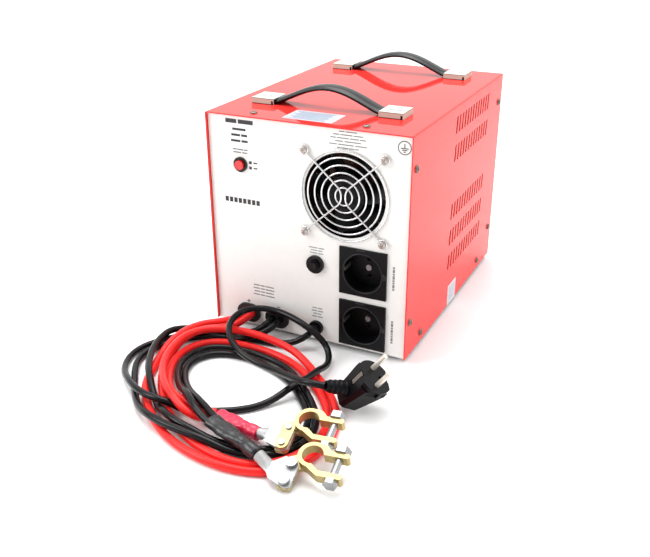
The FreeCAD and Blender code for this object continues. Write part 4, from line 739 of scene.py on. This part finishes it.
# The neck narrows from its start at the plug, in a straight line below the middle of the plug's face.
NECK_START = 8
NECK_LONG = 31.5
NECK_RADIUS = 8.0
NECK_TAPER = 3.1
NECK_DROP = 20.8
RIB_COUNT = 4
FIRST_RIB = 20.5
RIB_PITCH = 4.8


def add_plug_ribs(materials):
    """Broad ribs round the lead's relief on the plug."""
    ribs = []
    for number in range(RIB_COUNT):
        reach = FIRST_RIB + RIB_PITCH * number
        neck = NECK_RADIUS - NECK_TAPER * (reach - NECK_START) / NECK_LONG + 0.1
        middle = PLUG_FACE + NECK_WAY * reach - NECK_UP * NECK_DROP
        ribs.append(bead(middle * MM, NECK_ACROSS, NECK_UP, neck * MM, 0.7 * MM, 1.75 * MM, 12, 40))
    corners, faces = joined(ribs)
    add_piece("plug_relief_ribs", corners, faces, "plastic", materials)


# ---------------------------------------------------------------- sockets

WELL_RADIUS = 20.6


def add_socket_rims(materials):
    """Raised ring round each socket well, a rib beside it and two small catches on the frame."""
    for word in ("upper", "lower"):
        low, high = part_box(word + "_socket")
        middle = Vector(((low.x + high.x) / 2, low.y, (low.z + high.z) / 2))
        corners, faces = bead(middle, RIGHT, UP, WELL_RADIUS * MM, 0.7 * MM, 0.75 * MM, 10, 72)
        add_piece(word + "_socket_rim", corners, faces, "relief", materials)
        bars = [(middle + RIGHT * 23 * MM, RIGHT * 1.9 * MM, UP * 2.6 * MM)]
        for side in (-1, 1):
            catch = middle + (UP * side * 24.2 - RIGHT * 2) * MM
            bars.append((catch, RIGHT * 4.5 * MM, UP * 0.6 * MM))
        patches(word + "_socket_catches", bars, "relief", materials, 0.6)


# ---------------------------------------------------------------- prints and stickers

def patches(name, pieces, finish, materials, lift=0.06):
    """Thin flat patches in one mesh.  A piece is (centre, half width vector, half height vector)."""
    mesh = bpy.data.meshes.new(name)
    corners = []
    faces = []
    for centre, wide, high in pieces:
        normal = wide.cross(high).normalized() * lift * MM
        start = len(corners)
        for base in (centre, centre + normal):
            corners += [base - wide - high, base + wide - high, base + wide + high, base - wide + high]
        faces.append([start + 4, start + 5, start + 6, start + 7])
        for side in range(4):
            after = (side + 1) % 4
            faces.append([start + side, start + after, start + 4 + after, start + 4 + side])
    mesh.from_pydata(corners, [], faces)
    mesh.materials.append(materials[finish])
    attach(add_object(name, mesh), CASE)


def front_patch(x, z, wide, high):
    """A patch on the front panel, from its middle and size."""
    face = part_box("front_panel")[0].y
    return Vector((x * MM, face, z * MM)), RIGHT * (wide * MM / 2), UP * (high * MM / 2)


def broken_line(x, z, wide, high, words, upright=False):
    """One printed line as a few short bars with gaps, so that it reads as a plain caption."""
    gap = 0.35
    unit = wide / (sum(words) + gap * (len(words) - 1))
    start = -wide / 2
    bars = []
    for word in words:
        length = word * unit
        along = start + length / 2
        if upright:
            bars.append(front_patch(x, z + along, high, length))
        else:
            bars.append(front_patch(x + along, z, length, high))
        start += length + gap * unit
    return bars


# Bold captions: middle, width, height and the lengths of their words.
BOLD_LINES = [
    (-72, 226, 31, 4.2, [3, 4]),
    (-72.5, 218.2, 15, 2.3, [5]),
    (-72.5, 212.4, 18, 2.3, [3, 2]),
    (-72.5, 206.6, 19, 2.3, [3, 2]),
]
# Fine captions: middle, spacing, height and words of a block, with the width of each of its lines.
FINE_BLOCKS = [
    (-72, 198, 3.0, 1.4, [2, 3, 2], (17,)),
    (-72, 195, 3.0, 1.4, [3, 2], (16,)),
    (44, 229, 3.1, 1.0, [2, 4, 3, 2], (18, 30, 36, 26, 38, 22)),
    (11, 108, 2.8, 1.0, [3, 2], (17, 13, 15)),
    (11.5, 41, 3.2, 1.1, [2, 2], (11, 13, 9, 12)),
    (-51, 53, 3.6, 1.3, [3, 2, 4], (24, 25, 23, 25)),
]


def add_prints(materials):
    """Captions on the front panel, its serial sticker and its earth mark."""
    bars = []
    for line in BOLD_LINES:
        bars += broken_line(*line)
    fine = []
    for x, z, spacing, high, words, widths in FINE_BLOCKS:
        for number, wide in enumerate(widths):
            shown = words[: 2 + number % 3] if len(words) > 3 else words
            fine += broken_line(x, z - number * spacing, wide, high, shown)
    for z in (90.5, 32):
        fine += broken_line(93.5, z, 25, 2.2, [1, 2, 1, 1, 2, 1, 2, 1], upright=True)
    bars += [front_patch(-70, 32, 4, 0.9), front_patch(-70, 32, 0.9, 4), front_patch(-34, 32, 4, 0.9)]
    for z in (186, 180.6):
        bars += [front_patch(-61, z, 3.0, 3.0), front_patch(-55.4, z, 4.2, 1.4)]
    patches("panel_prints", bars, "ink", materials)
    patches("fine_prints", fine, "fine_ink", materials)
    patches("serial_sticker", [front_patch(-71.7, 144.6, 48.5, 14.2)], "label", materials, 0.12)
    serial = broken_line(-72, 144.6, 40, 5.2, [1] * 8)
    serial = [(centre + TO_FRONT * 0.13 * MM, wide, high) for centre, wide, high in serial]
    patches("serial_bars", serial, "ink", materials)
    add_earth_mark(99.7, 221, materials)


def add_earth_mark(x, z, materials):
    """A printed ring around a plain earth sign."""
    middle = Vector((x * MM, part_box("front_panel")[0].y - 0.05 * MM, z * MM))
    mesh = bpy.data.meshes.new("earth_mark")
    steps = 48
    corners = circle(middle, RIGHT, UP, 6.6 * MM, steps) + circle(middle, RIGHT, UP, 5.7 * MM, steps)
    faces = []
    for step in range(steps):
        after = (step + 1) % steps
        faces.append([step, after, steps + after, steps + step])
    mesh.from_pydata(corners, [], faces)
    mesh.materials.append(materials["ink"])
    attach(add_object("earth_mark", mesh), CASE)
    signs = [front_patch(x, z + 1.6, 0.9, 4.4)]
    for drop, wide in ((0.6, 7.6), (2.2, 5.0), (3.8, 2.4)):
        signs.append(front_patch(x, z - drop, wide, 0.9))
    patches("earth_sign", signs, "ink", materials)


def add_cover_stickers(materials):
    """A small sticker low on the right wall and a label on the front of the roof, with printed rows."""
    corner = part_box("top_cover")[1]
    middle = Vector((corner.x, -3 * MM, 17 * MM))
    patches("wall_sticker", [(middle, BACK * 14 * MM, UP * 12 * MM)], "paper", materials, 0.12)
    rows = []
    for row in range(6):
        spot = middle + (RIGHT * 0.13 + UP * (8 - 3 * row)) * MM
        rows.append((spot, BACK * (11 - row % 3) * MM, UP * 0.5 * MM))
    patches("wall_sticker_rows", rows, "pale_ink", materials)
    middle = Vector((-2.3 * MM, -123.5 * MM, corner.z))
    patches("roof_label", [(middle, RIGHT * 26.3 * MM, BACK * 16.5 * MM)], "roof_paper", materials, 0.12)
    rows = []
    for row in range(10):
        spot = middle + Vector((row % 3 - 3, 12.5 - 2.8 * row, 0.13)) * MM
        rows.append((spot, RIGHT * (21 - 2 * (row % 3)) * MM, BACK * 0.75 * MM))
    patches("roof_label_rows", rows, "blue_ink", materials)


# ---------------------------------------------------------------- whole object

add_camera()
MATERIALS = make_materials()
for sleeve_name in LEAD_ENDS:
    add_sleeve(sleeve_name, MATERIALS)
add_plug_ribs(MATERIALS)
for cord_name in CORDS:
    add_cable(cord_name, MATERIALS)
add_studio()
paint_nodes(MATERIALS)
add_prints(MATERIALS)
add_cover_stickers(MATERIALS)
add_all_screws(MATERIALS)
add_strap("front_padded_strap", "front_handle_strap", MATERIALS)
add_strap("rear_padded_strap", "rear_handle_strap", MATERIALS)
add_cap_marks(MATERIALS)
add_socket_rims(MATERIALS)
